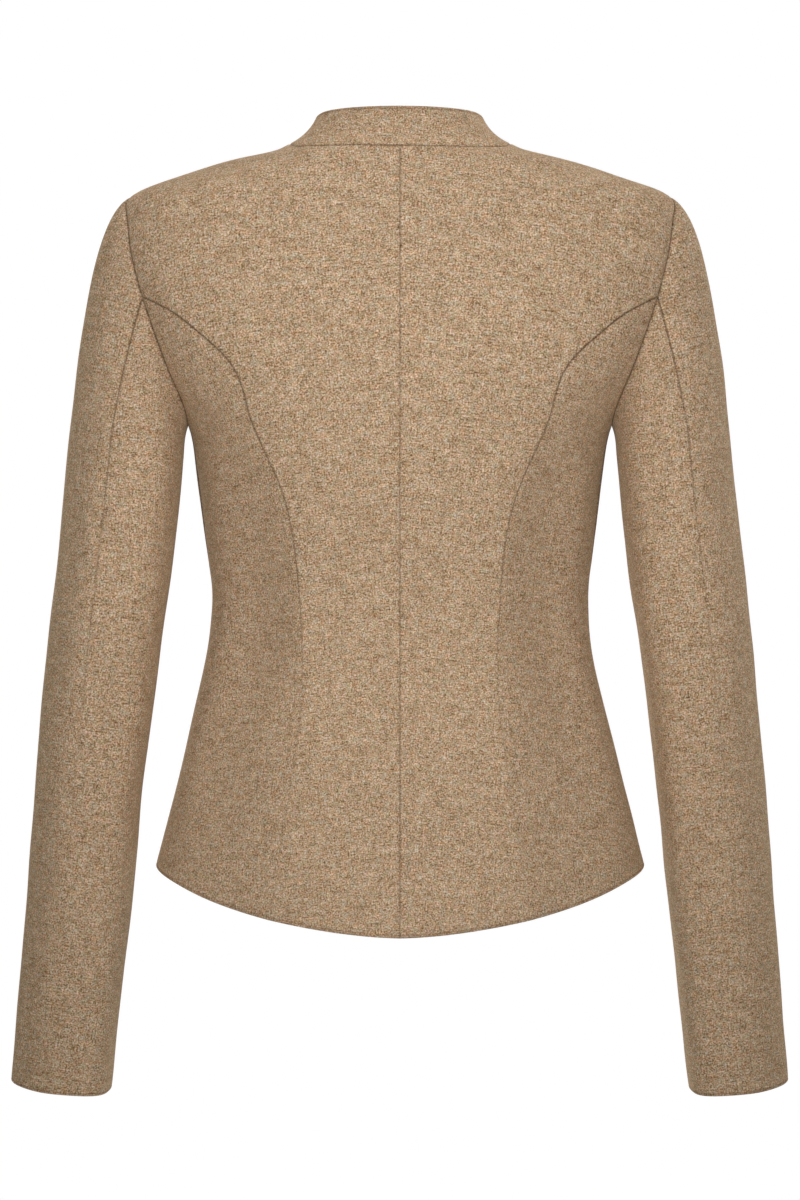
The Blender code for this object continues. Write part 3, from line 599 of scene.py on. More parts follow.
def sleeveGrid(seamPoints, turns):
    ring = sleeveRing(sleeveShape["biceps"], turns)
    down = unit(sleeveRing(sleeveShape["biceps"] - 5, turns) - ring)
    span = norm(ring - seamPoints)[:, None]
    across, along = cosSin(turns)
    outside = ((1 + across) / 2)[:, None]
    away = unit(stacked(cap["out"][0] + cap["out"][1] * across, cap["along"] * along,
                        cap["down"][0] + cap["down"][1] * across))
    straight = cap["straight"] * along[:, None] ** 2
    away = unit(away * (1 - straight) + (ring - seamPoints) / span * straight)
    leave = seamPoints + away * span * (cap["leave"][0] + cap["leave"][1] * outside)
    arrive = ring - down * span * (cap["arrive"][0] + cap["arrive"][1] * outside ** 2)
    rows = []
    for t in spaced(cap["length"], start=seamSteps)[:-1]:
        rows.append((1 - t) ** 3 * seamPoints + 3 * t * (1 - t) ** 2 * leave
                    + 3 * t * t * (1 - t) * arrive + t ** 3 * ring)
    armLength = sleeveShape["biceps"] - sleeveShape["cuff"]
    for share in spaced(armLength, end=edgeSteps, cell=cloth["cell"] * sleeveShape["cellStretch"]):
        rows.append(sleeveRing(sleeveShape["biceps"] - armLength * share, turns))
    return np.array(rows)


def gridNormals(points, closed=False):
    if closed:
        along = np.roll(points, -1, axis=1) - np.roll(points, 1, axis=1)
    else:
        along = np.gradient(points, axis=1)
    return unit(np.cross(np.gradient(points, axis=0), along))


armPoints, armNormals, armTurns, armStarts = armholeLoop()
sleevePoints = sleeveGrid(armPoints, armTurns)
sleeveNormals = gridNormals(sleevePoints, closed=True)
armholeMitre = unit(armNormals + sleeveNormals[0])


def mitreAlong(run, shares):  # the way both cloths face at the armhole seam
    own = armholeRuns[run][2]
    ways = armholeMitre[(armStarts[run] + np.arange(len(own))) % len(armTurns)]
    if run.startswith("front"):
        own, ways = 1 - own[::-1], ways[::-1]
    return unit(readAt(shares, own, ways))


print("sleeves shaped")

# collar
collarColumns = ("share", "x", "y", "z")
collarRows = (
    (-0.10, -17, 44, 24),
    (0, 0, 45, 24),
    (0.16, 29, 40.5, 23.7),
    (0.30, 48.5, 27.5, 23.2),
    (0.40, 57.5, 12, 21.5),
    (0.50, 59, -6, 16),
    (0.62, 53, -28, 3),
    (0.74, 41, -47, -13),
    (0.87, 22.5, -61, -30),
    (1, 3.5, -66.5, -41.5),
)
collarEdge = curvesOf(collarColumns, collarRows)
collarShape = {"height": 28.0, "hollow": 2.6, "corner": 9.0, "gap": 0.8, "cellAlong": 2.6, "cellUp": 1.8}
lap = {"reach": 18.0, "clearance": 1.1, "corner": 22.0, "slopeStart": 22.0, "slope": 26.0}


def lapSink(x):  # how far the left front lies under the right one
    t = np.clip((x - lap["slopeStart"]) / lap["slope"], 0, 1)
    return (cloth["thickness"] + lap["clearance"]) * (1 - t * t * (3 - 2 * t))


def collarBase():  # the neck seam from the left front, round the back, to the right front
    frontPlaces = seams["neckFront"][::-1]
    points, normals = bodySurface(np.concatenate([frontPlaces, seams["neckBack"][::-1][1:]]))
    sunk = points.copy()
    count = len(frontPlaces)
    sunk[:count] -= normals[:count] * lapSink(points[:count, 0])[:, None]
    base = np.concatenate([sunk, (points * mirror)[::-1][1:]])
    ways = np.concatenate([normals, (normals * mirror)[::-1][1:]])
    base[:count, 0] = np.maximum(base[:count, 0], collarShape["gap"])
    base[-count:, 0] = np.minimum(base[-count:, 0], -collarShape["gap"])
    return base, ways


def collarGrid():
    dense, denseWays = collarBase()
    length = distanceAlong(dense)
    wanted = spaced(length[-1], start=edgeSteps, end=edgeSteps, cell=collarShape["cellAlong"]) * length[-1]
    base, ways = readAt(wanted, length, dense), unit(readAt(wanted, length, denseWays))
    half = length[-1] / 2
    share = np.abs(wanted - half) / half
    edge = stacked(*[collarEdge[name](share) for name in ("x", "y", "z")])
    edge[:, 0] *= np.where(wanted < half, 1, -1)
    corner = collarShape["corner"]
    toEnd = np.clip(np.minimum(wanted, length[-1] - wanted), 0, corner)
    short = corner - np.sqrt(corner ** 2 - (corner - toEnd) ** 2)
    edge = base + (edge - base) * (1 - short / norm(edge - base))[:, None]
    inward = unit(np.cross(np.cross(ways, edge - base), edge - base))
    inward *= np.where(np.sum(inward * ways, axis=1) > 0, -1, 1)[:, None]
    v = spaced(collarShape["height"], start=seamSteps, end=edgeSteps, cell=collarShape["cellUp"])
    v = v[:, None, None]
    return base + (edge - base) * v + inward * collarShape["hollow"] * 4 * v * (1 - v), ways


collarPoints, collarWays = collarGrid()
collarNormals = gridNormals(collarPoints)
if np.sum(collarNormals[0] * collarWays) < 0:
    collarNormals = -collarNormals
neckMitre = unit(collarWays + collarNormals[0])
print("collar shaped")


def neckMitreAt(points):  # for a body piece's neck edge: that of the nearest point of the collar
    leftHalf = collarPoints[0, :collarPoints.shape[1] // 2]
    away = norm(points[:, None] - leftHalf[None])
    return neckMitre[away.argmin(axis=1)], away.min(axis=1)


# materials

def wire(node, inputs):  # sets a node's inputs, to values or to other nodes' outputs
    for key, value in inputs.items():
        if isinstance(value, bpy.types.NodeSocket):
            node.id_data.links.new(value, node.inputs[key])
        else:
            node.inputs[key].default_value = value
    return node


def addNode(tree, kind, inputs=None, **settings):
    node = tree.nodes.new("ShaderNode" + kind)
    for key, value in settings.items():
        setattr(node, key, value)
    return wire(node, inputs or {})


def newMaterial(name):
    material = bpy.data.materials.new(name)
    material.use_nodes = True
    return material, material.node_tree, material.node_tree.nodes["Principled BSDF"]


def makeGroup(name, inputs, outputs):
    group = bpy.data.node_groups.new(name, "ShaderNodeTree")
    for label, kind, value in inputs:
        socket = group.interface.new_socket(label, in_out="INPUT", socket_type="NodeSocket" + kind)
        if value is not None:
            socket.default_value = value
    for label, kind in outputs:
        group.interface.new_socket(label, in_out="OUTPUT", socket_type="NodeSocket" + kind)
    return group, group.nodes.new("NodeGroupInput").outputs, group.nodes.new("NodeGroupOutput")


def noise(tree, vector, stretch, detail=2.0, offset=(0, 0, 0)):
    placed = addNode(tree, "VectorMath", {0: vector, 1: stretch, 2: offset}, operation="MULTIPLY_ADD")
    return addNode(tree, "TexNoise", {"Vector": placed.outputs[0], "Scale": 1.0, "Detail": detail,
                                      "Roughness": 0.55}).outputs["Fac"]


def multiplyAdd(tree, value, factor, extra=0.0):
    return addNode(tree, "Math", {0: value, 1: factor, 2: extra}, operation="MULTIPLY_ADD").outputs[0]


def mixColours(tree, share, a, b, blend="MIX"):
    return addNode(tree, "Mix", {0: share, 6: a, 7: b}, data_type="RGBA", blend_type=blend).outputs[2]


def between(tree, value, low, high):  # 0 below low, 1 above high
    return addNode(tree, "MapRange", {"Value": value, "From Min": low, "From Max": high}).outputs[0]


wool = {
    "speck": 0.00115,  # size of the finest specks, in metres
    "yarn": 0.0010,  # width of a yarn
    "fleck": 0.0034,  # length of a streak of one yarn
    "tuft": 0.0042,  # size of a patch of dyed wool
    "relief": 0.0006,  # height of the nap
    "tones": (  # place along the ramp and colour, from the darkest fibres to the lightest
        (0.26, (0.086, 0.036, 0.011, 1)),
        (0.38, (0.198, 0.120, 0.057, 1)),
        (0.50, (0.380, 0.270, 0.172, 1)),
        (0.63, (0.590, 0.488, 0.376, 1)),
        (0.74, (0.748, 0.660, 0.552, 1)),
    ),
    "dyes": (  # pairs of tints that the tufts turn between, and their place
        ((0.93, 1.005, 1.00, 1), (1.11, 0.965, 0.90, 1), (4.0, 1.0, 22.0)),
        ((0.98, 0.99, 1.07, 1), (1.02, 1.01, 0.92, 1), (9.0, 3.0, 26.0)),
    ),
    "shades": (  # how much painted shade each line puts on the cloth, and its tint
        ("Seam", 0.95, (0.072, 0.028, 0.010, 1)),
        ("PressShadow", 0.65, (0.17, 0.080, 0.038, 1)),
        ("EdgeShadow", 0.45, (0.16, 0.090, 0.050, 1)),
    ),
    "cloud": (38, 38, 1),  # how often the lighter and darker parts of the whole cloth change
    "cloudShade": (0.08, 0.96),  # and how much, from a darkest shade
    "gloss": (0.25, 0.78),  # how much rougher the pale fibres are than the darkest
    "stitches": (520, 520, 1),  # how often a seam's painted shadow is broken
    "sheen": {"Specular IOR Level": 0.10, "Sheen Roughness": 0.5, "Sheen Tint": (0.90, 0.66, 0.42, 1)},
}


def melangeGroup():
    group, given, result = makeGroup(
        "melangeWool", [("Cut", "Vector", None), ("Contrast", "Float", 1.0), ("Brightness", "Float", 1.0)],
        [("Color", "Color"), ("Height", "Float"), ("Roughness", "Float")])
    cut = given["Cut"]
    fine, thin, long, wide = 1 / wool["speck"], 1 / wool["yarn"], 1 / wool["fleck"], 1 / wool["tuft"]
    layers = (  # stretch along and across the cut, share, place
        ((fine, fine, 1), 0.62, (3.7, 9.1, 8.0)),
        ((long, thin, 1), 0.21, (0.0, 0.0, 0.0)),
        ((thin, long, 1), 0.23, (7.3, 2.1, 4.0)),
        ((long / 4, thin / 2.5, 1), 0.10, (1.3, 5.5, 12.0)),
        ((thin / 2.5, long / 4, 1), 0.11, (8.8, 0.4, 15.0)),
        ((wide * 0.8, wide, 1), 0.12, (2.9, 6.4, 31.0)),
        ((wide / 3, wide / 2, 1), 0.09, (5.1, 7.7, 35.0)),
    )
    tone = -0.5 * sum(share for _, share, _ in layers)
    for stretch, share, place in layers:
        tone = multiplyAdd(group, noise(group, cut, stretch, 1.0, place), share, tone)
    tone = multiplyAdd(group, tone, given["Contrast"], 0.5)
    ramp = addNode(group, "ValToRGB", {"Fac": tone})
    elements = ramp.color_ramp.elements
    for element, (place, colour) in zip(elements, (wool["tones"][0], wool["tones"][-1])):
        element.position, element.color = place, colour
    for place, colour in wool["tones"][1:-1]:
        elements.new(place).color = colour
    colour = ramp.outputs["Color"]
    for low, high, place in wool["dyes"]:
        tuft = noise(group, cut, (wide * 0.85, wide, 1), 1.0, place)
        tint = mixColours(group, between(group, tuft, 0.3, 0.7), low, high)
        colour = mixColours(group, 1.0, colour, tint, "MULTIPLY")
    cloud = noise(group, cut, wool["cloud"], 3.0, (2.2, 6.1, 18.0))
    shade = multiplyAdd(group, between(group, cloud, 0.3, 0.7), *wool["cloudShade"])
    shade = multiplyAdd(group, shade, given["Brightness"])
    shaded = addNode(group, "VectorMath", {0: colour, "Scale": shade}, operation="SCALE")
    rough = multiplyAdd(group, tone, *wool["gloss"])
    wire(result, {"Color": shaded.outputs[0], "Height": tone, "Roughness": rough})
    return group


def seamShadeGroup():  # paints shade on the cloth along its seams, pressed lines and edges, broken unevenly like a stitched line
    group, given, result = makeGroup(
        "seamShade", [("Cut", "Vector", None), ("Color", "Color", None)]
        + [(label, "Float", 0.0) for label, _, _ in wool["shades"]], [("Color", "Color")])
    uneven = noise(group, given["Cut"], wool["stitches"], 1.0, (5.0, 2.0, 40.0))
    uneven = multiplyAdd(group, between(group, uneven, 0.34, 0.58), 0.5, 0.5)
    colour = given["Color"]
    for label, share, tint in wool["shades"]:
        mask = multiplyAdd(group, multiplyAdd(group, given[label], share), uneven)
        colour = mixColours(group, mask, colour, tint)
    wire(result, {"Color": colour})
    return group


melange, seamShade = melangeGroup(), seamShadeGroup()


def woolMaterial(name, contrast, brightness, relief, sheen):
    material, tree, shader = newMaterial(name)
    cut = addNode(tree, "UVMap", uv_map="cut").outputs[0]
    settings = {"Cut": cut, "Contrast": contrast, "Brightness": brightness}
    yarns = addNode(tree, "Group", settings, node_tree=melange)
    shaded = addNode(tree, "Group", {"Cut": cut, "Color": yarns.outputs["Color"]}, node_tree=seamShade)
    # the painted shade lines along seams, pressed lines and edges
    for label, socket in (("seamShadow", "Seam"), ("pressLine", "PressShadow"), ("edgeShadow", "EdgeShadow")):
        wire(shaded, {socket: addNode(tree, "Attribute", attribute_name=label).outputs["Fac"]})
    nap = {"Strength": relief, "Distance": wool["relief"], "Height": yarns.outputs["Height"]}
    bump = addNode(tree, "Bump", nap)
    wire(shader, {"Base Color": shaded.outputs["Color"], "Roughness": yarns.outputs["Roughness"],
                  "Normal": bump.outputs[0], "Sheen Weight": sheen, **wool["sheen"]})
    return material


clothMaterial = woolMaterial("lodenOutside", contrast=1.02, brightness=1.10, relief=0.5, sheen=0.32)
insideMaterial = woolMaterial("lodenInside", contrast=0.75, brightness=0.86, relief=0.35, sheen=0.05)
print("materials mixed")

# the body's pieces: each one's node, cut, what it hangs from, its grid's width and its place in the cloth

downwards = np.array([0.0, 0.0, -1.0])
sideways = np.array([1.0, 0.0, 0.0])


def grainDown(normals, part=""):  # the way of the warp, which backs and fronts carry over the shoulder
    if part:
        return unit(np.cross(normals, sideways)) * (1 if part == "back" else -1)
    return unit(downwards - normals * (normals @ downwards)[..., None])


def sideRun(first, second, shares):
    # a side made of two lines, level with the other side's rows, and the row where they meet
    own = [seamLength(first)[-1], seamLength(second)[-1]]
    bend = int(np.argmin(np.abs(shares - own[0] / sum(own))))
    upper = sampleSeam(first, shares[:bend + 1] / shares[bend])
    lower = sampleSeam(second, (shares[bend:] - shares[bend]) / (1 - shares[bend]))
    return joined(upper, lower), bend


def sewMain(side, part, panel, neckLine, middleLine, bottomLine, middle, middleSteps):
    # a back or a front, from the shoulder down, with its armhole and princess seam on the left of the grid
    armhole, princess = part + "Upper", "princess" + part.title()
    armShares = spaced(lengths[armhole], start=seamSteps)
    outline = joined(sampleSeam(seams[armhole], armShares),
                     sampleSeam(seams[princess], spaced(lengths[princess], end=edgeSteps)))
    shares = seamLength(outline)
    shares /= shares[-1]
    inner, bend = sideRun(neckLine, middleLine, shares)
    across = spaced(panel["across"], start=seamSteps, end=middleSteps)
    top = sampleSeam(seams["shoulder"][::-1], across)
    bottom = sampleSeam(bottomLine(outline[-1, 0]), across)
    points, normals = bodySurface(fillBetween(top, bottom, outline, inner, across, shares))
    ways = normals[:, 0].copy()
    ways[:len(armShares)] = mitreAlong(armhole, armShares)
    normals = mitred("left", points, normals, ways)
    neckWays, away = neckMitreAt(points[:bend + 1, -1])
    near = np.clip(1 - away / panel["neckFade"], 0, 1)[:, None]
    ways = normals[:, -1].copy()
    ways[:bend + 1] = unit(neckWays * near + ways[:bend + 1] * (1 - near))
    normals = mitred("right", points, normals, ways)
    edges = {"top": "shoulder", "bottom": "hem", "left": part + "Outline", "right": ("neck", bend, middle)}
    sink = lapSink(points[..., 0]) if (side, part) == ("left", "front") else 0.0
    buildCloth(part, side, points, normals, grainDown(normals, part), panel, edges, sink=sink)


backPanel = {"node": "back_{}", "cut": (0.190, 0.619), "area": 0.0638, "across": 150.0, "neckFade": 12.0,
             "hangsFrom": ["collar", "sleeve_upper_{}"], "offset": ((0.31, 0.12), (1.73, 0.45))}


def sewBack(side):
    centre = straightDown(90.0, float(neckBackRows[0][1]), float(hemAt(90)))
    sewMain(side, "back", backPanel, seams["neckBack"][::-1], centre, lambda start: hemLine(start, 90.0),
            "centreBack", seamSteps)


frontPanel = {"node": "front_{}", "cut": (0.205, 0.588), "area": 0.0693, "across": 165.0, "neckFade": 12.0,
              "hangsFrom": ["back_{}"], "offset": ((6.11, 0.42), (7.53, 0.15))}


def sewFront(side):
    neckLine = joined(seams["neckFront"], neckEdge(neckFrontRows, False, 0.0, -lap["reach"]))
    turn = math.pi / 2 * sampling  # the round corner where the hem turns up into the front edge
    corner = placesAt(-lap["reach"] + lap["corner"] * (1 - np.sin(turn)),
                      float(hemAt(-90)) + lap["corner"] * (1 - np.cos(turn)), False)
    edge = placesAt(-lap["reach"], sampled(neckLine[-1, 1], corner[-1, 1]), False)
    sewMain(side, "front", frontPanel, neckLine, edge,
            lambda start: joined(hemLine(start, corner[0, 0]), corner), "edge", edgeSteps)


sidePanels = {
    "Back": {"node": "side_back_{}", "cut": (0.142, 0.450), "area": 0.0447, "hangsFrom": ["back_{}"],
             "across": 115.0, "offset": ((2.31, 0.62), (3.13, 0.25))},
    "Front": {"node": "side_front_{}", "cut": (0.160, 0.401), "area": 0.0425, "hangsFrom": ["front_{}"],
              "across": 115.0, "offset": ((4.37, 0.32), (5.23, 0.55))},
}


def sewSide(side, part):
    run = part.lower() + "Lower"
    across = spaced(sidePanels[part]["across"], start=seamSteps, end=seamSteps)
    down = spaced(lengths["side"], start=seamSteps, end=edgeSteps)
    left, right = sampleSeam(seams["princess" + part], down), sampleSeam(seams["side"], down)
    hem = sampleSeam(hemLine(left[-1, 0], 0.0), across)
    points, normals = bodySurface(fillBetween(sampleSeam(seams[run], across), hem, left, right, across))
    normals = mitred("top", points, normals, mitreAlong(run, across))
    buildCloth("side" + part, side, points, normals, grainDown(normals), sidePanels[part],
               {"top": "armhole", "bottom": "hem", "left": part.lower() + "Outline", "right": "side"})


sleevePanels = {
    "Upper": {"node": "sleeve_upper_{}", "cut": (0.173, 0.632), "area": 0.0950,
              "hangsFrom": ["back_{}", "front_{}"], "offset": ((8.31, 0.22), (9.03, 0.65)),
              "left": "sleeveFront", "right": "sleeveBack"},
    "Under": {"node": "sleeve_under_{}", "cut": (0.146, 0.564), "area": 0.0609,
              "hangsFrom": ["sleeve_upper_{}"], "offset": ((10.1, 0.52), (11.3, 0.35)),
              "left": "sleeveBack", "right": "sleeveFront"},
}


def sewSleeve(side, part):
    count, panel = len(armTurns), sleevePanels[part]
    backSeam, frontSeam = armStarts["backLower"], int(np.argmin(np.abs(armTurns - sleeveShape["frontTurn"])))
    chosen = np.arange(backSeam, frontSeam + 1)
    if part == "Upper":
        chosen = np.arange(frontSeam, count + backSeam + 1) % count
    points = sleevePoints[:, chosen]
    normals = mitred("top", points, sleeveNormals[:, chosen], armholeMitre[chosen])
    top, foot = armAxis(np.array(sleeveShape["grain"]))
    axis = foot - top
    grain = unit(axis - normals * (normals @ axis)[..., None])
    buildCloth("sleeve" + part, side, points, normals, grain, panel,
               {"top": "armhole", "bottom": "hem", "left": panel["left"], "right": panel["right"]})


for side in ("left", "right"):
    sewBack(side)
    sewSide(side, "Back")
    sewSide(side, "Front")
    sewFront(side)
    sewSleeve(side, "Upper")
    sewSleeve(side, "Under")
print("body and sleeves sewn")

collarPiece = {"node": "collar", "cut": (0.440, 0.038), "area": 0.0135,
               "hangsFrom": ["back_left", "back_right"], "offset": ((12.4, 0.18),)}
collarFolded = mitred("top", collarPoints, collarNormals, neckMitre)
collarRise = unit(collarPoints[:1] - collarPoints[-1:]) + 0 * collarPoints
collarGrain = unit(collarRise - collarFolded * np.sum(collarRise * collarFolded, axis=2, keepdims=True))
buildCloth("collarStand", "", collarPoints, collarFolded, collarGrain, collarPiece,
           {"top": "neck", "bottom": "edge", "left": "edge", "right": "edge"}, cloth["collarThickness"])
print("collar sewn")

# buttons and buttonholes

buttons = {"count": 5, "top": -92.0, "pitch": 86.0, "radius": 9.5, "thickness": 3.6, "rim": 1.6, "dish": 0.9,
           "dishSlope": 1.2, "bearing": -90.0, "sides": 112,
           "foot": ((1.4, 0.0), (0.7, 0.25), (0.2, 0.75), (0.0, 1.3)),  # in from its rim, and up
           "crown": ((0.0, 1.0), (0.12, 0.55), (0.4, 0.15), (0.8, 0.0)),  # in from its rim, and down
           "gap": 0.4, "holeRadius": 1.05, "holeOffset": 2.15, "holeDepth": 1.7, "holeSlope": 0.34,
           "holeRim": 0.22, "swell": 0.12, "faceRings": 30,
           "bands": (60, 90, 260), "grain": (500, 500, 2600),  # how often the horn's colour changes
           "dark": (0.022, 0.012, 0.007, 1), "middle": (0.085, 0.042, 0.020, 1),
           "pale": (0.26, 0.150, 0.075, 1)}
buttonThread = {"radius": 0.3, "apart": 0.34, "sunk": 1.3, "rise": 1.75, "past": 1.04, "twist": 2600,
                "dark": (0.085, 0.045, 0.022, 1), "pale": (0.24, 0.15, 0.085, 1)}
buttonholes = {"front": 2.5, "length": 21.0, "lip": 0.62, "stitch": 0.62, "uneven": 0.14, "sunk": 0.28,
               "stitches": 110}


def finish(shader, colour, roughness, height, strength):  # a colour with a fine relief
    relief = {"Strength": strength, "Distance": 0.0002, "Height": height}
    bump = addNode(shader.id_data, "Bump", relief)
    wire(shader, {"Base Color": colour, "Roughness": roughness, "Normal": bump.outputs[0]})


def hornMaterial():
    material, tree, shader = newMaterial("horn")
    where = addNode(tree, "TexCoord").outputs["Object"]
    bands = noise(tree, where, buttons["bands"], 4.0)
    grain = noise(tree, where, buttons["grain"], 2.0, (3.0, 1.0, 7.0))
    tone = multiplyAdd(tree, grain, 0.3, multiplyAdd(tree, bands, 0.7))
    dark = mixColours(tree, between(tree, tone, 0.36, 0.52), buttons["dark"], buttons["middle"])
    colour = mixColours(tree, between(tree, tone, 0.52, 0.68), dark, buttons["pale"])
    finish(shader, colour, multiplyAdd(tree, grain, 0.25, 0.28), height=grain, strength=0.12)
    return material


def threadMaterial():
    material, tree, shader = newMaterial("sewingThread")
    where = addNode(tree, "TexCoord").outputs["Object"]
    twist = noise(tree, where, [buttonThread["twist"]] * 3, 1.0)
    colour = mixColours(tree, between(tree, twist, 0.35, 0.65), buttonThread["dark"], buttonThread["pale"])
    finish(shader, colour, 0.7, height=twist, strength=0.4)
    return material


horn, thread = hornMaterial(), threadMaterial()


def lathed(profile, sides, lift):  # rings of reach and height round an axis, closed at both ends
    vertices, faces = [(0.0, 0.0, profile[0][1])], []
    turns = 2 * math.pi * np.arange(sides) / sides
    for reach, height in profile[1:-1]:
        ring = stacked(reach * np.cos(turns), reach * np.sin(turns), 0 * turns + height)
        ring[:, 2] += lift(ring)
        vertices.extend(ring.tolist())
    vertices.append((0.0, 0.0, profile[-1][1]))
    last, rings = len(vertices) - 1, len(profile) - 2
    for i in range(sides):
        j = (i + 1) % sides
        faces.append((0, 1 + j, 1 + i))
        for start in range(1, 1 + (rings - 1) * sides, sides):
            faces.append((start + i, start + j, start + sides + j, start + sides + i))
        faces.append((last - sides + i, last - sides + j, last))
    return np.array(vertices), faces


def tube(path, radius, up, sides=8, closed=False):
    ahead = np.roll(path, -1, axis=0) - np.roll(path, 1, axis=0) if closed else np.gradient(path, axis=0)
    across = unit(np.cross(unit(ahead), np.broadcast_to(up, path.shape)))
    up = np.cross(across, unit(ahead))
    turns = (2 * math.pi * np.arange(sides) / sides)[None, :, None]
    radius = np.broadcast_to(radius, len(path))[:, None, None]
    rings = path[:, None] + radius * (across[:, None] * np.cos(turns) + up[:, None] * np.sin(turns))
    count, faces = len(path), []
    for k in range(count if closed else count - 1):
        a, b = k * sides, (k + 1) % count * sides
        faces += [(a + i, a + (i + 1) % sides, b + (i + 1) % sides, b + i) for i in range(sides)]
    if not closed:
        faces += [tuple(range(sides))[::-1], tuple((count - 1) * sides + i for i in range(sides))]
    return rings.reshape(-1, 3), faces


def gathered(parts):  # several meshes as one
    vertices, faces, start = [], [], 0
    for points, own in parts:
        vertices.append(points)
        faces += [tuple(i + start for i in face) for face in own]
        start += len(points)
    return np.concatenate(vertices), faces


def turnButton(number, height):
    radius, thickness, floor = buttons["radius"], buttons["thickness"], buttons["thickness"] - buttons["dish"]
    bearing, offset = buttons["bearing"], buttons["holeOffset"]
    point, normal = (v[0] for v in bodySurface(np.array([[bearing, height]])))
    normal = unit(normal * (0, 1, 1))
    steps = np.array([[bearing, height + step * radius] for step in (-1, -0.5, 0.5, 1)])
    rise = max(0.0, ((bodySurface(steps)[0] - point) @ normal).max())
    seat = point + normal * (rise + buttons["gap"])
    frameWays = np.stack([sideways, np.cross(normal, sideways), normal])
    profile = [(0.0, 0.0), (3.0, 0.0)] + [(radius - inward, up) for inward, up in buttons["foot"]]
    profile += [(radius - inward, thickness - down) for inward, down in buttons["crown"]]
    inner, slope = radius - buttons["rim"], buttons["dishSlope"]
    profile.append((inner, thickness - 0.02))
    for share in (0.25, 0.5, 0.75, 1.0):  # down into the dish
        profile.append((inner - slope * share, thickness - buttons["dish"] * (3 - 2 * share) * share ** 2))
    reach = inner - slope
    profile += [(r, floor + buttons["swell"] * (r / reach) ** 4)
                for r in np.linspace(reach, 0.1, buttons["faceRings"])[1:]]
    profile.append((0.0, floor))
    centres = np.array([(x, y) for x in (-offset, offset) for y in (-offset, offset)])

    def bore(ring):  # the four holes
        away = norm(ring[:, None, :2] - centres[None]).min(axis=1)
        share = np.clip((buttons["holeRadius"] + buttons["holeRim"] - away) / buttons["holeSlope"], 0, 1)
        return -np.where(ring[:, 2] > floor - 0.01, buttons["holeDepth"] * share ** 2 * (3 - 2 * share), 0)

    vertices, faces = lathed(profile, buttons["sides"], bore)
    button = addPiece(f"button{number}", seat + vertices @ frameWays, faces, [horn])
    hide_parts(f"button_{number}")

    strands, t = [], np.linspace(0, 1, 15)
    arch = np.sin(math.pi * t)
    for y in (-offset, offset):
        for shift in (-buttonThread["apart"], buttonThread["apart"]):
            path = stacked(offset * (2 * t - 1) * buttonThread["past"], y + shift * (arch + 0.4),
                           floor - buttonThread["sunk"] + buttonThread["rise"] * arch ** 0.4)
            strands.append(tube(path, buttonThread["radius"], (0.0, 0.0, 1.0)))
    vertices, faces = gathered(strands)
    addPiece(f"buttonThread{number}", seat + vertices @ frameWays, faces, [thread])


def stitchButtonhole(number, height):
    half, lip = buttonholes["length"] / 2, buttonholes["lip"]
    straight = np.linspace(-half, half, buttonholes["stitches"])
    end = np.linspace(0, math.pi, 9)[1:-1]
    run = np.concatenate([straight, half + lip * np.sin(end), -straight, -half - lip * np.sin(end)])
    off = np.concatenate([0 * straight + lip, lip * np.cos(end), 0 * straight - lip, -lip * np.cos(end)])
    points, normals = bodySurface(placesAt(buttonholes["front"] - half + run, height + off, False))
    points = points - normals * (creaseDepth(points) + buttonholes["sunk"])[:, None]
    uneven = 1 - buttonholes["uneven"] * (np.arange(len(run)) % 2 * 2)
    vertices, faces = tube(points, buttonholes["stitch"] * uneven, normals, closed=True)
    addPiece(f"buttonhole{number}", vertices, faces, [thread])


for number in range(1, buttons["count"] + 1):
    height = buttons["top"] - buttons["pitch"] * (number - 1)
    turnButton(number, height)
    stitchButtonhole(number, height)
print("buttons sewn on")

# floor, light and camera
studio = {"floor": -1.45, "floorReach": 5.0, "floorSides": 96, "floorGlow": 1.2, "glowShare": 0.75,
          "floorTones": ((0.86, 0.86, 0.855, 1), (0.89, 0.89, 0.885, 1)),
          "camera": (0.0, 3.0, -0.3194), "lens": 36 * 3.0 / 0.846,  # the height it takes in is 0.846 m
          "world": {"Color": (1, 1, 1, 1), "Strength": 1.0},  # what the camera sees
          "ambient": {"Color": (1, 0.965, 0.905, 1), "Strength": 0.25},  # and what lights the cloth
          "lights": (  # name, bearing from the back, rise, height aimed at, distance, side, spread, strength
              ("backLight", 0, 0, -0.25, 1.1, 0.6, 180, 5.5),
              ("topLight", 0, 80, -0.25, 1.4, 0.8, 180, 6.2),
              ("backBeam", 0, 20, -0.20, 3.6, 0.6, 12, 0.31),
              ("hemBeam", 0, -10, -0.60, 3.0, 0.15, 3.5, 0.0105),
              ("frontLight", 165, 15, -0.25, 1.8, 0.9, 180, 16.0),
              ("frontFill", 240, 20, -0.25, 2.6, 1.0, 180, 14.0),
          )}


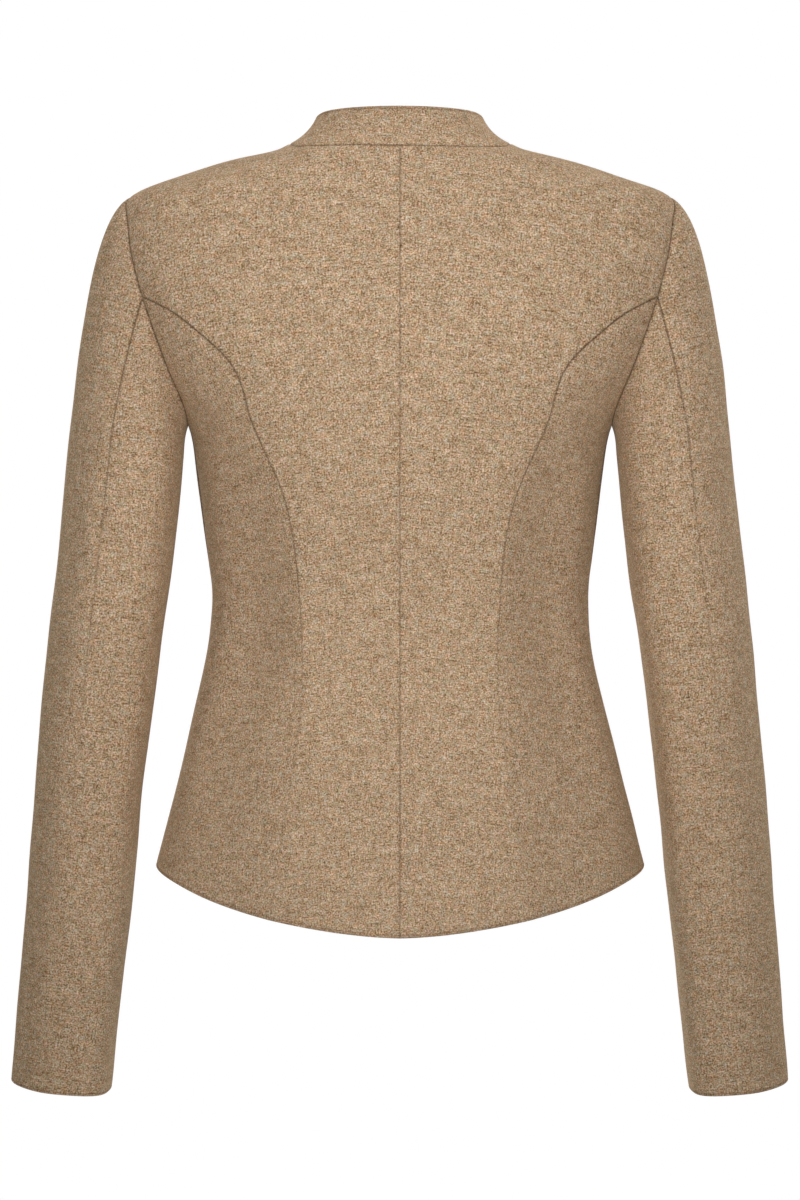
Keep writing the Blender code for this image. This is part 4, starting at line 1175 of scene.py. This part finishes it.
def makeFloor():
    mesh = bpy.data.meshes.new("floor")
    reach, turns = studio["floorReach"], np.linspace(0, 2 * math.pi, studio["floorSides"], False)
    ring = stacked(reach * np.cos(turns), reach * np.sin(turns), 0 * turns + studio["floor"])
    mesh.from_pydata(ring.tolist(), [], [list(range(len(ring)))])
    material, tree, shader = newMaterial("paleFloor")
    where = addNode(tree, "TexCoord").outputs["Object"]
    patch = addNode(tree, "TexNoise", {"Vector": where, "Scale": 3.0, "Detail": 3.0}).outputs["Fac"]
    pale = mixColours(tree, patch, *studio["floorTones"])
    wire(shader, {"Base Color": pale, "Roughness": 0.75})
    glow = addNode(tree, "Emission", {"Color": pale, "Strength": studio["floorGlow"]})
    seen = addNode(tree, "LightPath").outputs["Is Camera Ray"]
    mixed = addNode(tree, "MixShader", {0: multiplyAdd(tree, seen, studio["glowShare"]), 1: shader.outputs[0],
                                        2: glow.outputs[0]})
    wire(tree.nodes["Material Output"], {"Surface": mixed.outputs[0]})
    mesh.materials.append(material)
    linked("floor", mesh)


def softLight(name, bearing, rise, height, distance, size, spread, power):
    turn, tilt = math.radians(bearing), math.radians(rise)
    way = Vector((math.sin(turn) * math.cos(tilt), math.cos(turn) * math.cos(tilt), math.sin(tilt)))
    light = bpy.data.lights.new(name, "AREA")
    light.shape, light.size, light.spread, light.energy = "SQUARE", size, math.radians(spread), power
    lamp = linked(name, light)
    lamp.location = Vector((0, 0, height)) + way * distance
    lamp.rotation_euler = (-way).to_track_quat("-Z", "Y").to_euler()
    lamp.visible_camera = False


makeFloor()
for settings in studio["lights"]:
    softLight(*settings)

world = bpy.data.worlds.new("studio")
world.use_nodes = True
tree = world.node_tree
tree.nodes.clear()
seen = addNode(tree, "Background", studio["world"])
felt = addNode(tree, "Background", studio["ambient"])
path = addNode(tree, "LightPath")
both = addNode(tree, "MixShader", {0: path.outputs["Is Camera Ray"], 1: felt.outputs[0], 2: seen.outputs[0]})
addNode(tree, "OutputWorld", {"Surface": both.outputs[0]})
bpy.context.scene.world = world
bpy.context.scene.view_settings.view_transform = "Standard"

cameraData = bpy.data.cameras.new("camera")
cameraData.sensor_width = 36.0
cameraData.lens = studio["lens"]
camera = linked("camera", cameraData)
camera.location = studio["camera"]
camera.rotation_euler = (math.radians(90), 0, math.radians(180))
bpy.context.scene.camera = camera
print("studio set")
